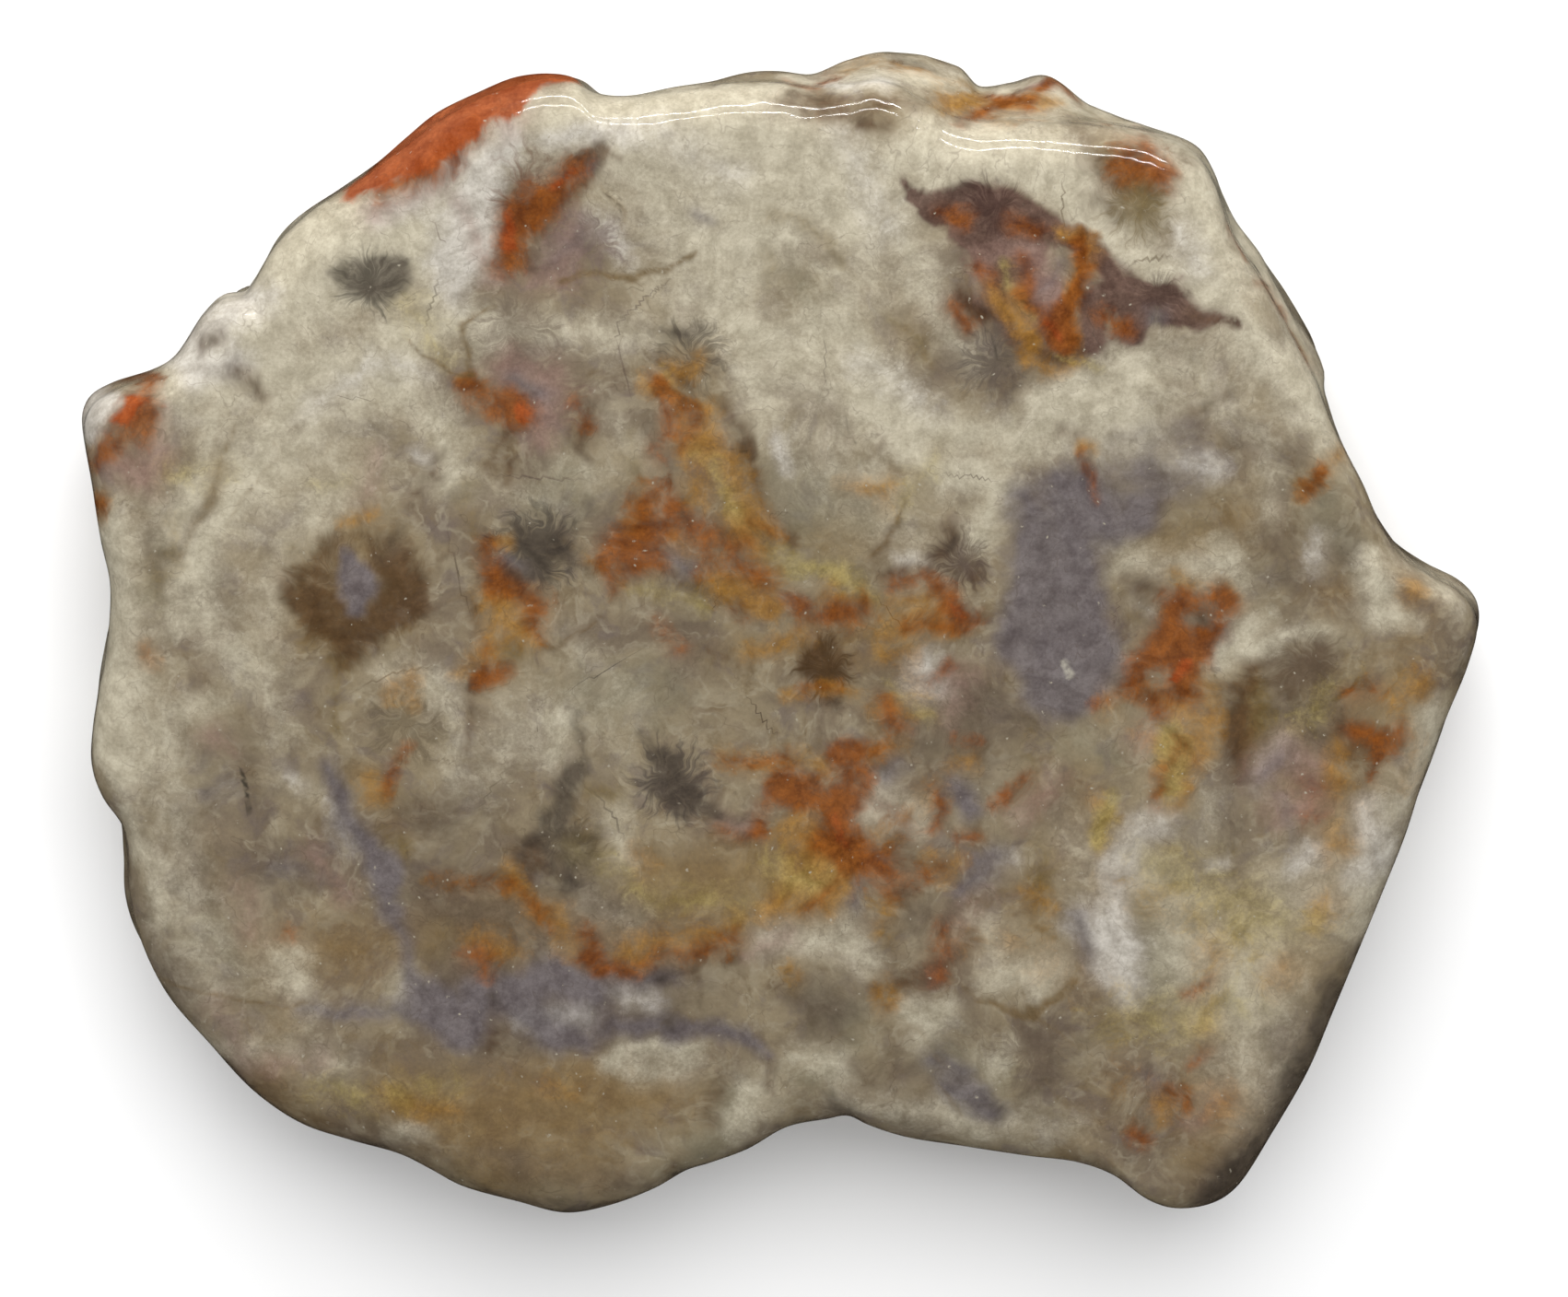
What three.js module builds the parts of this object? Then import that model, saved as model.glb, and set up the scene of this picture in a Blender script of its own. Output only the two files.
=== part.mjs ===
// A thick slice of agatised coprolite, polished all over: a broad face, a lobed rim and a flat back.
// Millimetres. The back lies on z = 0, x runs to the right of the face and y towards its upper rim.
import * as THREE from "three";

// Driving sizes
const THICKNESS = 21; // flat back to the crown of the face
const FACE_FALL = 1.1; // drop of the face from its crown to the half width and half height below
const FACE_HALF_WIDTH = 54;
const FACE_HALF_HEIGHT = 45;
const RIM_ROLL_DEPTH = 4.4; // height over which the rim rolls from the face into the side
const BACK_ROLL_DEPTH = 5.6; // height over which the side rolls under to the back
const BACK_ROLL_WIDTH = 4.2; // width of the same roll, seen from above
const BELLY = 0.4; // swell of the side halfway down

// Slow waves that the polishing left on the face: length, heading in degrees, height
const FACE_WAVES = [
  [64, 20, 0.26],
  [41, 108, 0.2],
  [27, 61, 0.1],
];

// Lumps on the side: how many go round, where they start and how far they lean on the way down,
// both as a share of one lump, and height
const SIDE_LUMPS = [
  [9, 0.12, 0.5, 0.26],
  [17, 0.4, -0.7, 0.2],
  [31, 0.77, 0.9, 0.12],
];

// The outline, clockwise from the tip of the left tab. Each place has its x and y where the belly of the
// side is widest, the width of the roll above it, and how far the lower side stands proud of the rim
// (negative where it draws in).
const RIM = [
  // Left tab, up to the sharp notch above it
  [-57.1, 17.4, 3, -0.9], [-56.4, 19.0, 3, -0.9], [-54.7, 20.2, 3.5, -1.0], [-51.7, 21.5, 4, -1.1],
  [-49.8, 22.8, 4, -1.1], [-47.3, 26.3, 4, -1.1], [-45.6, 27.8, 4, -0.9], [-43.9, 28.1, 3.5, -0.7],
  // Upper left shoulder with the red band
  [-43.2, 29.0, 3.5, -0.7], [-41.4, 32.0, 4, -1.0], [-38.5, 34.8, 4.5, -1.2], [-34.8, 37.3, 4.5, -1.2],
  [-30.7, 40.3, 4.5, -1.3], [-27.7, 42.6, 4.5, -1.3], [-23.9, 44.5, 4.5, -1.4], [-21.3, 45.5, 4.5, -1.3],
  [-18.8, 45.9, 4.5, -1.1], [-17.0, 45.7, 4, -1.1],
  // Straight stretch along the top
  [-15.3, 44.6, 3.5, -1.2], [-12.7, 44.3, 3.5, -1.3], [-8.2, 44.9, 3.5, -1.2], [-3.7, 45.5, 3.5, -1.0],
  [-0.3, 45.5, 4, -0.8], [2.3, 45.1, 4, -0.2],
  // Two rear lobes that stand proud of the top
  [5.0, 45.4, 4.5, 0.8], [7.6, 45.8, 4.5, 1.2], [9.4, 45.3, 4.5, 1.7], [11.3, 44.2, 4.5, 2.6],
  [13.6, 43.0, 4.5, 3.0], [15.8, 42.4, 4.5, 1.9], [18.2, 42.4, 4.5, 2.3], [20.3, 42.4, 4.5, 3.0],
  [24.8, 42.0, 4.5, 0.8], [28.2, 41.6, 4.5, -0.2], [31.2, 40.8, 4.5, -0.5], [33.8, 39.4, 4, -0.6],
  [35.1, 37.4, 4, -0.5], [35.9, 35.4, 3.5, -0.5],
  // Right lobe: the side swells out behind the rim, then breaks off at a crease
  [36.8, 32.9, 3, -0.1], [38.8, 29.9, 3, 0.7], [40.7, 26.7, 3, 1.1], [42.7, 23.0, 3, 1.3],
  [43.8, 20.8, 3, 0.9], [44.3, 19.4, 3, -0.5],
  // Right edge, out to the right tip
  [45.8, 16.0, 3, -0.6], [47.7, 12.4, 3, -0.6], [49.1, 9.2, 3, -0.5], [50.9, 6.6, 3, -0.4],
  [53.3, 4.8, 3, -0.5], [55.6, 3.5, 3, -0.6], [56.8, 2.1, 3.5, -0.6], [57.2, 0.5, 4, -0.7],
  // Long lower right edge
  [56.5, -2.6, 4, -0.6], [54.7, -7.2, 4, -0.5], [52.9, -12.2, 4, -0.5], [51.5, -16.8, 4, -0.6],
  [49.8, -21.3, 4, -0.5], [47.6, -27.0, 4, -0.5], [45.7, -31.9, 4, -0.4], [43.8, -36.7, 4, -0.3],
  // Lower right toe
  [40.9, -42.0, 4, -0.3], [37.8, -46.9, 4, -0.4], [35.8, -48.2, 4, -0.5], [32.9, -48.6, 4, -0.5],
  [30.7, -47.9, 4, -0.4], [27.7, -45.7, 4, -0.2], [24.8, -44.6, 4, 0], [20.3, -44.0, 4, 0.2],
  // Bottom edge to the sharp notch
  [15.1, -43.2, 4, 0.3], [10.2, -42.4, 4, 0.1], [7.2, -41.4, 3.5, -0.2], [5.5, -40.6, 3, -0.4],
  // Lower left belly
  [3.7, -40.9, 3.5, -0.3], [0.4, -41.6, 4, 0], [-2.9, -43.5, 4, 0.2], [-6.1, -44.7, 4, 0.1],
  [-8.0, -45.3, 4, -0.1], [-10.6, -46.8, 4, 0], [-14.5, -48.3, 4, 0.1], [-18.1, -48.9, 4, 0],
  [-22.1, -47.9, 4, -0.1], [-26.8, -46.5, 4, 0], [-29.3, -45.1, 4, 0.2], [-31.8, -43.8, 4, 0.2],
  [-35.9, -42.6, 4, 0.1], [-40.0, -41.2, 4, 0], [-43.9, -38.5, 4, -0.1], [-47.7, -34.3, 4, -0.2],
  [-51.0, -30.3, 4, -0.3], [-53.0, -26.1, 4, -0.2], [-54.0, -22.0, 3.5, 0.1], [-54.1, -19.0, 3, 0.3],
  // Left edge, with three shallow scallops
  [-54.5, -16.0, 3, 0], [-56.1, -13.5, 3, -0.3], [-56.9, -11.1, 3, -0.4], [-56.8, -8.1, 3, -0.2],
  [-56.3, -5.0, 3, 0.2], [-55.7, -2.1, 3, 0.2], [-55.3, 1.1, 3, -0.2], [-55.2, 4.4, 3, -0.3],
  [-55.9, 7.9, 3, -0.5], [-56.5, 12.1, 3, -0.7],
];

// How finely the surface is faceted
const STATIONS = 200; // places round the rim
const RIM_STEPS = 4; // facets down the roll of the rim
const SIDE_STEPS = 4; // facets down the side
const BACK_STEPS = 3; // facets down the roll of the back
// Rings of the face, inwards: share of the way out from the middle, and the places in the ring
const FACE_RINGS = [
  [0.93, STATIONS],
  [0.84, STATIONS],
  [0.72, STATIONS / 2],
  [0.57, STATIONS / 2],
  [0.41, STATIONS / 4],
  [0.25, STATIONS / 4],
  [0.11, STATIONS / 8],
];

const wave = (turns) => Math.sin(2 * Math.PI * turns);

// Height of the face at x and y: a low dome with slow waves.
function faceHeight(x, y) {
  let height = THICKNESS - FACE_FALL * Math.hypot(x / FACE_HALF_WIDTH, y / FACE_HALF_HEIGHT) ** 3;
  for (const [length, heading, rise] of FACE_WAVES) {
    const angle = THREE.MathUtils.degToRad(heading);
    const along = x * Math.cos(angle) + y * Math.sin(angle);
    height += rise * (wave(along / length) - 1);
  }
  return height;
}

// The rim at one share of its length: its reach from the middle, its direction, roll and swell.
function makeStations() {
  const line = new THREE.CatmullRomCurve3(
    RIM.map(([x, y]) => new THREE.Vector3(x, y, 0)), true, "centripetal");
  const profile = new THREE.CatmullRomCurve3(
    RIM.map(([, , roll, proud]) => new THREE.Vector3(roll, proud, 0)), true, "centripetal");
  line.arcLengthDivisions = RIM.length * STATIONS;
  return Array.from({ length: STATIONS }, (_, index) => {
    const turn = index / STATIONS;
    const t = line.getUtoTmapping(turn);
    const place = line.getPoint(t);
    const { x: roll, y: proud } = profile.getPoint(t);
    const widest = place.length();
    return { turn, reach: widest - BELLY, roll, proud, dx: place.x / widest, dy: place.y / widest };
  });
}

// The place on a station's ray at a reach from the middle and a height.
const onRay = (station, reach, z) => [station.dx * reach, station.dy * reach, z];

// One section down the outside, from the edge of the face to the edge of the back.
function section(station) {
  const { turn, reach, roll, proud } = station;
  const inner = reach - roll;
  const top = faceHeight(station.dx * inner, station.dy * inner);
  const sideTop = top - RIM_ROLL_DEPTH;
  const points = [];
  for (let step = 0; step < RIM_STEPS; step += 1) {
    const angle = (step / RIM_STEPS) * (Math.PI / 2);
    points.push(onRay(station, inner + roll * Math.sin(angle), sideTop + RIM_ROLL_DEPTH * Math.cos(angle)));
  }
  for (let step = 0; step < SIDE_STEPS; step += 1) {
    const down = step / SIDE_STEPS;
    let swell = proud * THREE.MathUtils.smoothstep(down, 0, 1) + BELLY * Math.sin(Math.PI * down);
    for (const [count, start, lean, rise] of SIDE_LUMPS) {
      swell += rise * Math.sin(Math.PI * down) * wave(count * turn + start + lean * down);
    }
    points.push(onRay(station, reach + swell, THREE.MathUtils.lerp(sideTop, BACK_ROLL_DEPTH, down)));
  }
  for (let step = 0; step <= BACK_STEPS; step += 1) {
    const angle = (step / BACK_STEPS) * (Math.PI / 2);
    const out = reach + proud - BACK_ROLL_WIDTH * (1 - Math.cos(angle));
    points.push(onRay(station, out, BACK_ROLL_DEPTH * (1 - Math.sin(angle))));
  }
  return points;
}

// Joins two rings whose first places lie on one ray. The inner ring has as many places, or half.
function joinRings(faces, outer, inner) {
  const every = outer.length / inner.length;
  outer.forEach((corner, index) => {
    const next = outer[(index + 1) % outer.length];
    const near = inner[Math.round(index / every) % inner.length];
    const nearNext = inner[Math.round((index + 1) / every) % inner.length];
    faces.push(corner, near, next);
    if (near !== nearNext) {
      faces.push(next, near, nearNext);
    }
  });
}

// The whole slice as one closed surface with its faces outwards.
function coproliteGeometry() {
  const stations = makeStations();
  const sections = stations.map(section);
  const vertices = [];
  const faces = [];
  const addRing = (places) => places.map((place) => vertices.push(...place) / 3 - 1);

  const levels = sections[0].map((_, level) => addRing(sections.map((points) => points[level])));
  for (let level = 1; level < levels.length; level += 1) {
    joinRings(faces, levels[level], levels[level - 1]);
  }

  let ring = levels[0];
  for (const [share, count] of FACE_RINGS) {
    const chosen = stations.filter((_, index) => index % (STATIONS / count) === 0);
    const next = addRing(chosen.map(({ dx, dy, reach, roll }) => {
      const out = share * (reach - roll);
      return [dx * out, dy * out, faceHeight(dx * out, dy * out)];
    }));
    joinRings(faces, ring, next);
    ring = next;
  }
  const [crown] = addRing([[0, 0, faceHeight(0, 0)]]);
  ring.forEach((corner, index) => faces.push(corner, crown, ring[(index + 1) % ring.length]));

  const [backMiddle] = addRing([[0, 0, 0]]);
  const back = levels.at(-1);
  back.forEach((corner, index) => faces.push(corner, back[(index + 1) % back.length], backMiddle));

  const geometry = new THREE.BufferGeometry();
  geometry.setAttribute("position", new THREE.Float32BufferAttribute(vertices, 3));
  geometry.setIndex(faces);
  geometry.computeVertexNormals();
  return geometry;
}

// The origin is under the middle of the slice's own box, on the surface that it lies on.
function centred(geometry) {
  geometry.computeBoundingBox();
  const middle = geometry.boundingBox.getCenter(new THREE.Vector3());
  return geometry.translate(-middle.x, -middle.y, 0);
}

const stone = new THREE.MeshStandardMaterial({ color: 0xa89c88, roughness: 0.14, metalness: 0 });
const coprolite = new THREE.Mesh(centred(coproliteGeometry()), stone);
coprolite.name = "coprolite";

const slice = new THREE.Group();
slice.add(coprolite);

export default slice;
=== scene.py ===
"""A thick slice of agatised coprolite, polished all over, lying on its flat back on a pale floor.

The slice's form follows the same named values as the solid it stands for. Its markings are laid down as
strokes of a few pigments, each a field over the surface, and the stone's finish blends them.
Lengths are millimetres up to the point where a mesh is made. The floor, lamps and clipping are metres.
"""

import logging
import math
from dataclasses import dataclass, field
from enum import Enum

import bpy
import numpy as np
from mathutils import Matrix, Vector

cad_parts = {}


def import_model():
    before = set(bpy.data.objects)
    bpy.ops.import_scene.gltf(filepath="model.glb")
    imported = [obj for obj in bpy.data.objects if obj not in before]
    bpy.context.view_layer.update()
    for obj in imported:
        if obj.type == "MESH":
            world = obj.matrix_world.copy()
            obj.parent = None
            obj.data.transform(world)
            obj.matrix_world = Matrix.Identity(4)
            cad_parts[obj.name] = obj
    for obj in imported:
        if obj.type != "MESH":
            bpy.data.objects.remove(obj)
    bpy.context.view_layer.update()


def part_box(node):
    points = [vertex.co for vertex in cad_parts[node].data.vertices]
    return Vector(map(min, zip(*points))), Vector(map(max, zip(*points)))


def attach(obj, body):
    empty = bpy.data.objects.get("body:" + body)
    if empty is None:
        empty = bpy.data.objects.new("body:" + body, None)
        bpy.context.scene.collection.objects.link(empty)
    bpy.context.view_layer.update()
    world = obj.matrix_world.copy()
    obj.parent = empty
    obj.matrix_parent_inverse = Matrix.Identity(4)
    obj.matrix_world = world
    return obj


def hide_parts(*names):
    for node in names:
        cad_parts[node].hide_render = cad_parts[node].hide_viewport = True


LOG = logging.getLogger("coprolite")
MM = 0.001
NODE = "coprolite"

# The outline, clockwise from the tip of the left tab: x and y where the belly of the side is widest,
# the width of the roll above it, and how far the lower side stands proud of the rim.
RIM = (
    # Left tab, up to the sharp notch above it
    (-57.1, 17.4, 3, -0.9), (-56.4, 19.0, 3, -0.9), (-54.7, 20.2, 3.5, -1.0), (-51.7, 21.5, 4, -1.1),
    (-49.8, 22.8, 4, -1.1), (-47.3, 26.3, 4, -1.1), (-45.6, 27.8, 4, -0.9), (-43.9, 28.1, 3.5, -0.7),
    # Upper left shoulder with the red band
    (-43.2, 29.0, 3.5, -0.7), (-41.4, 32.0, 4, -1.0), (-38.5, 34.8, 4.5, -1.2), (-34.8, 37.3, 4.5, -1.2),
    (-30.7, 40.3, 4.5, -1.3), (-27.7, 42.6, 4.5, -1.3), (-23.9, 44.5, 4.5, -1.4), (-21.3, 45.5, 4.5, -1.3),
    (-18.8, 45.9, 4.5, -1.1), (-17.0, 45.7, 4, -1.1),
    # Straight stretch along the top
    (-15.3, 44.6, 3.5, -1.2), (-12.7, 44.3, 3.5, -1.3), (-8.2, 44.9, 3.5, -1.2), (-3.7, 45.5, 3.5, -1.0),
    (-0.3, 45.5, 4, -0.8), (2.3, 45.1, 4, -0.2),
    # Two rear lobes that stand proud of the top
    (5.0, 45.4, 4.5, 0.8), (7.6, 45.8, 4.5, 1.2), (9.4, 45.3, 4.5, 1.7), (11.3, 44.2, 4.5, 2.6),
    (13.6, 43.0, 4.5, 3.0), (15.8, 42.4, 4.5, 1.9), (18.2, 42.4, 4.5, 2.3), (20.3, 42.4, 4.5, 3.0),
    (24.8, 42.0, 4.5, 0.8), (28.2, 41.6, 4.5, -0.2), (31.2, 40.8, 4.5, -0.5), (33.8, 39.4, 4, -0.6),
    (35.1, 37.4, 4, -0.5), (35.9, 35.4, 3.5, -0.5),
    # Right lobe: the side swells out behind the rim, then breaks off at a crease
    (36.8, 32.9, 3, -0.1), (38.8, 29.9, 3, 0.7), (40.7, 26.7, 3, 1.1), (42.7, 23.0, 3, 1.3),
    (43.8, 20.8, 3, 0.9), (44.3, 19.4, 3, -0.5),
    # Right edge, out to the right tip
    (45.8, 16.0, 3, -0.6), (47.7, 12.4, 3, -0.6), (49.1, 9.2, 3, -0.5), (50.9, 6.6, 3, -0.4),
    (53.3, 4.8, 3, -0.5), (55.6, 3.5, 3, -0.6), (56.8, 2.1, 3.5, -0.6), (57.2, 0.5, 4, -0.7),
    # Long lower right edge
    (56.5, -2.6, 4, -0.6), (54.7, -7.2, 4, -0.5), (52.9, -12.2, 4, -0.5), (51.5, -16.8, 4, -0.6),
    (49.8, -21.3, 4, -0.5), (47.6, -27.0, 4, -0.5), (45.7, -31.9, 4, -0.4), (43.8, -36.7, 4, -0.3),
    # Lower right toe
    (40.9, -42.0, 4, -0.3), (37.8, -46.9, 4, -0.4), (35.8, -48.2, 4, -0.5), (32.9, -48.6, 4, -0.5),
    (30.7, -47.9, 4, -0.4), (27.7, -45.7, 4, -0.2), (24.8, -44.6, 4, 0), (20.3, -44.0, 4, 0.2),
    # Bottom edge to the sharp notch
    (15.1, -43.2, 4, 0.3), (10.2, -42.4, 4, 0.1), (7.2, -41.4, 3.5, -0.2), (5.5, -40.6, 3, -0.4),
    # Lower left belly
    (3.7, -40.9, 3.5, -0.3), (0.4, -41.6, 4, 0), (-2.9, -43.5, 4, 0.2), (-6.1, -44.7, 4, 0.1),
    (-8.0, -45.3, 4, -0.1), (-10.6, -46.8, 4, 0), (-14.5, -48.3, 4, 0.1), (-18.1, -48.9, 4, 0),
    (-22.1, -47.9, 4, -0.1), (-26.8, -46.5, 4, 0), (-29.3, -45.1, 4, 0.2), (-31.8, -43.8, 4, 0.2),
    (-35.9, -42.6, 4, 0.1), (-40.0, -41.2, 4, 0), (-43.9, -38.5, 4, -0.1), (-47.7, -34.3, 4, -0.2),
    (-51.0, -30.3, 4, -0.3), (-53.0, -26.1, 4, -0.2), (-54.0, -22.0, 3.5, 0.1), (-54.1, -19.0, 3, 0.3),
    # Left edge, with three shallow scallops
    (-54.5, -16.0, 3, 0), (-56.1, -13.5, 3, -0.3), (-56.9, -11.1, 3, -0.4), (-56.8, -8.1, 3, -0.2),
    (-56.3, -5.0, 3, 0.2), (-55.7, -2.1, 3, 0.2), (-55.3, 1.1, 3, -0.2), (-55.2, 4.4, 3, -0.3),
    (-55.9, 7.9, 3, -0.5), (-56.5, 12.1, 3, -0.7),
)


def wave(turns: np.ndarray) -> np.ndarray:
    """Returns a sine that repeats once a turn."""
    return np.sin(2 * np.pi * turns)


def colour(hexadecimal: str) -> tuple[float, float, float, float]:
    """Turns a tint as it is seen into a shader's own colour.

    Args:
        hexadecimal: The tint, such as 'a89c88', in the usual curve of a screen.

    Returns:
        Its linear red, green and blue, and a full alpha.
    """
    shown = [int(hexadecimal[place : place + 2], 16) / 255 for place in (0, 2, 4)]
    linear = [value / 12.92 if value <= 0.04045 else ((value + 0.055) / 1.055) ** 2.4 for value in shown]
    return (*linear, 1.0)


@dataclass
class ClosedCurve:
    """A smooth closed curve through given points, rounded so that it never overshoots a short span."""

    points: np.ndarray
    # Knots closer than this are treated as evenly spaced
    smallest_gap: float = 1e-4

    def at(self, place: np.ndarray) -> np.ndarray:
        """Evaluates the curve.

        Args:
            place: Where to evaluate it, from 0 to 1 with an equal share for each span.

        Returns:
            One row of coordinates for each place.
        """
        count = len(self.points)
        scaled = np.mod(place, 1.0) * count
        span = np.floor(scaled).astype(int) % count
        share = (scaled - np.floor(scaled))[:, None]
        before, start, end, after = (self.points[(span + step) % count] for step in (-1, 0, 1, 2))
        gap = self.knot_gap(start, end, np.ones(len(span)))
        gap_before, gap_after = self.knot_gap(before, start, gap), self.knot_gap(end, after, gap)
        gap, gap_before, gap_after = gap[:, None], gap_before[:, None], gap_after[:, None]
        slope = (start - before) / gap_before - (end - before) / (gap_before + gap) + (end - start) / gap
        slope_end = (end - start) / gap - (after - start) / (gap + gap_after) + (after - end) / gap_after
        slope, slope_end = slope * gap, slope_end * gap
        square = -3 * start + 3 * end - 2 * slope - slope_end
        cube = 2 * start - 2 * end + slope + slope_end
        return start + slope * share + square * share**2 + cube * share**3

    def knot_gap(self, start: np.ndarray, end: np.ndarray, otherwise: np.ndarray) -> np.ndarray:
        """Returns the root of each distance from start to end, or another gap where the two all but meet."""
        gap = np.sqrt(np.linalg.norm(end - start, axis=1))
        return np.where(gap < self.smallest_gap, otherwise, gap)


@dataclass
class Stations:
    """Places round the rim, each on a ray from the middle of the slice."""

    turn: np.ndarray
    direction: np.ndarray
    reach: np.ndarray
    roll: np.ndarray
    proud: np.ndarray

    def on_rays(self, reach: np.ndarray, z: np.ndarray) -> np.ndarray:
        """Returns the points on the rays at a reach from the middle and a height."""
        return np.column_stack([self.direction * reach[:, None], np.broadcast_to(z, reach.shape)])


@dataclass
class SliceForm:
    """The slice's form, in millimetres: a domed face, a rolled rim, a lumpy side and a flat back."""

    thickness: float = 21.0
    face_fall: float = 1.1
    face_half_width: float = 54.0
    face_half_height: float = 45.0
    rim_roll_depth: float = 4.4
    back_roll_depth: float = 5.6
    back_roll_width: float = 4.2
    belly: float = 0.4
    # Slow waves on the face: length, heading in degrees, height
    face_waves: tuple = ((64, 20, 0.26), (41, 108, 0.2), (27, 61, 0.1))
    # Lumps on the side: how many go round, start, lean on the way down, height
    side_lumps: tuple = ((9, 0.12, 0.5, 0.26), (17, 0.4, -0.7, 0.2), (31, 0.77, 0.9, 0.12))
    # Mesh steps
    around: int = 900
    rim_steps: int = 12
    side_steps: int = 14
    back_steps: int = 7
    face_spacing: float = 0.38
    back_spacing: float = 1.5
    fewest_in_ring: int = 8
    table_steps: int = 20000
    line: ClosedCurve = field(init=False)
    profile: ClosedCurve = field(init=False)
    turn_table: np.ndarray = field(init=False)
    place_table: np.ndarray = field(init=False)

    def __post_init__(self) -> None:
        """Makes the two curves of the outline and the table that spaces stations evenly along it."""
        rim = np.array(RIM, float)
        self.line = ClosedCurve(rim[:, :2])
        self.profile = ClosedCurve(rim[:, 2:])
        self.place_table = np.linspace(0.0, 1.0, self.table_steps + 1)
        points = self.line.at(self.place_table)
        lengths = np.linalg.norm(np.diff(points, axis=0), axis=1)
        self.turn_table = np.concatenate([[0.0], np.cumsum(lengths)]) / lengths.sum()

    def stations(self, count: int) -> Stations:
        """Finds places spaced evenly round the rim.

        Args:
            count: How many.

        Returns:
            The stations there.
        """
        turn = np.arange(count) / count
        place = np.interp(turn, self.turn_table, self.place_table)
        widest = self.line.at(place)
        roll, proud = self.profile.at(place).T
        length = np.linalg.norm(widest, axis=1)
        return Stations(turn, widest / length[:, None], length - self.belly, roll, proud)

    def face_height(self, x: np.ndarray, y: np.ndarray) -> np.ndarray:
        """Gives the face its low dome and its slow waves.

        Args:
            x: Places across the slice.
            y: Places up the slice.

        Returns:
            The height of the face there.
        """
        out = np.hypot(x / self.face_half_width, y / self.face_half_height)
        height = self.thickness - self.face_fall * out**3
        for length, heading, rise in self.face_waves:
            angle = math.radians(heading)
            height = height + rise * (wave((x * math.cos(angle) + y * math.sin(angle)) / length) - 1)
        return height

    def section(self, at: Stations) -> list[np.ndarray]:
        """Makes the rings down the outside, from the edge of the face to the edge of the back.

        Args:
            at: The stations round the rim.

        Returns:
            The rings of points, from the top down.
        """
        inner = at.reach - at.roll
        top = self.face_height(*(at.direction * inner[:, None]).T)
        side_top = top - self.rim_roll_depth
        rings = []
        for step in range(self.rim_steps):
            angle = step / self.rim_steps * math.pi / 2
            height = side_top + self.rim_roll_depth * math.cos(angle)
            rings.append(at.on_rays(inner + at.roll * math.sin(angle), height))
        for step in range(self.side_steps):
            down = step / self.side_steps
            bulge = math.sin(math.pi * down)
            swell = at.proud * down * down * (3 - 2 * down) + self.belly * bulge
            for count, start, lean, rise in self.side_lumps:
                swell = swell + rise * bulge * wave(count * at.turn + start + lean * down)
            rings.append(at.on_rays(at.reach + swell, side_top + (self.back_roll_depth - side_top) * down))
        for step in range(self.back_steps + 1):
            angle = step / self.back_steps * math.pi / 2
            out = at.reach + at.proud - self.back_roll_width * (1 - math.cos(angle))
            rings.append(at.on_rays(out, self.back_roll_depth * (1 - math.sin(angle))))
        return rings

    def flat_rings(self, perimeter: float, spacing: float, top: bool) -> list[np.ndarray]:
        """Makes the rings that shrink towards the middle of the face or of the back.

        Args:
            perimeter: The length round the edge of the face.
            spacing: How far apart the rings and their points lie.
            top: Whether they lie on the face, not on the back.

        Returns:
            The rings of points, from the outside in.
        """
        steps = round(float(np.mean(self.stations(self.around).reach)) / spacing)
        rings = []
        for step in range(steps - 1, 0, -1):
            share = step / steps
            at = self.stations(max(self.fewest_in_ring, round(perimeter * share / spacing)))
            edge = at.reach - at.roll if top else at.reach + at.proud - self.back_roll_width
            flat = at.direction * (edge * share)[:, None]
            height = self.face_height(*flat.T) if top else np.zeros(len(flat))
            rings.append(np.column_stack([flat, height]))
        return rings


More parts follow.
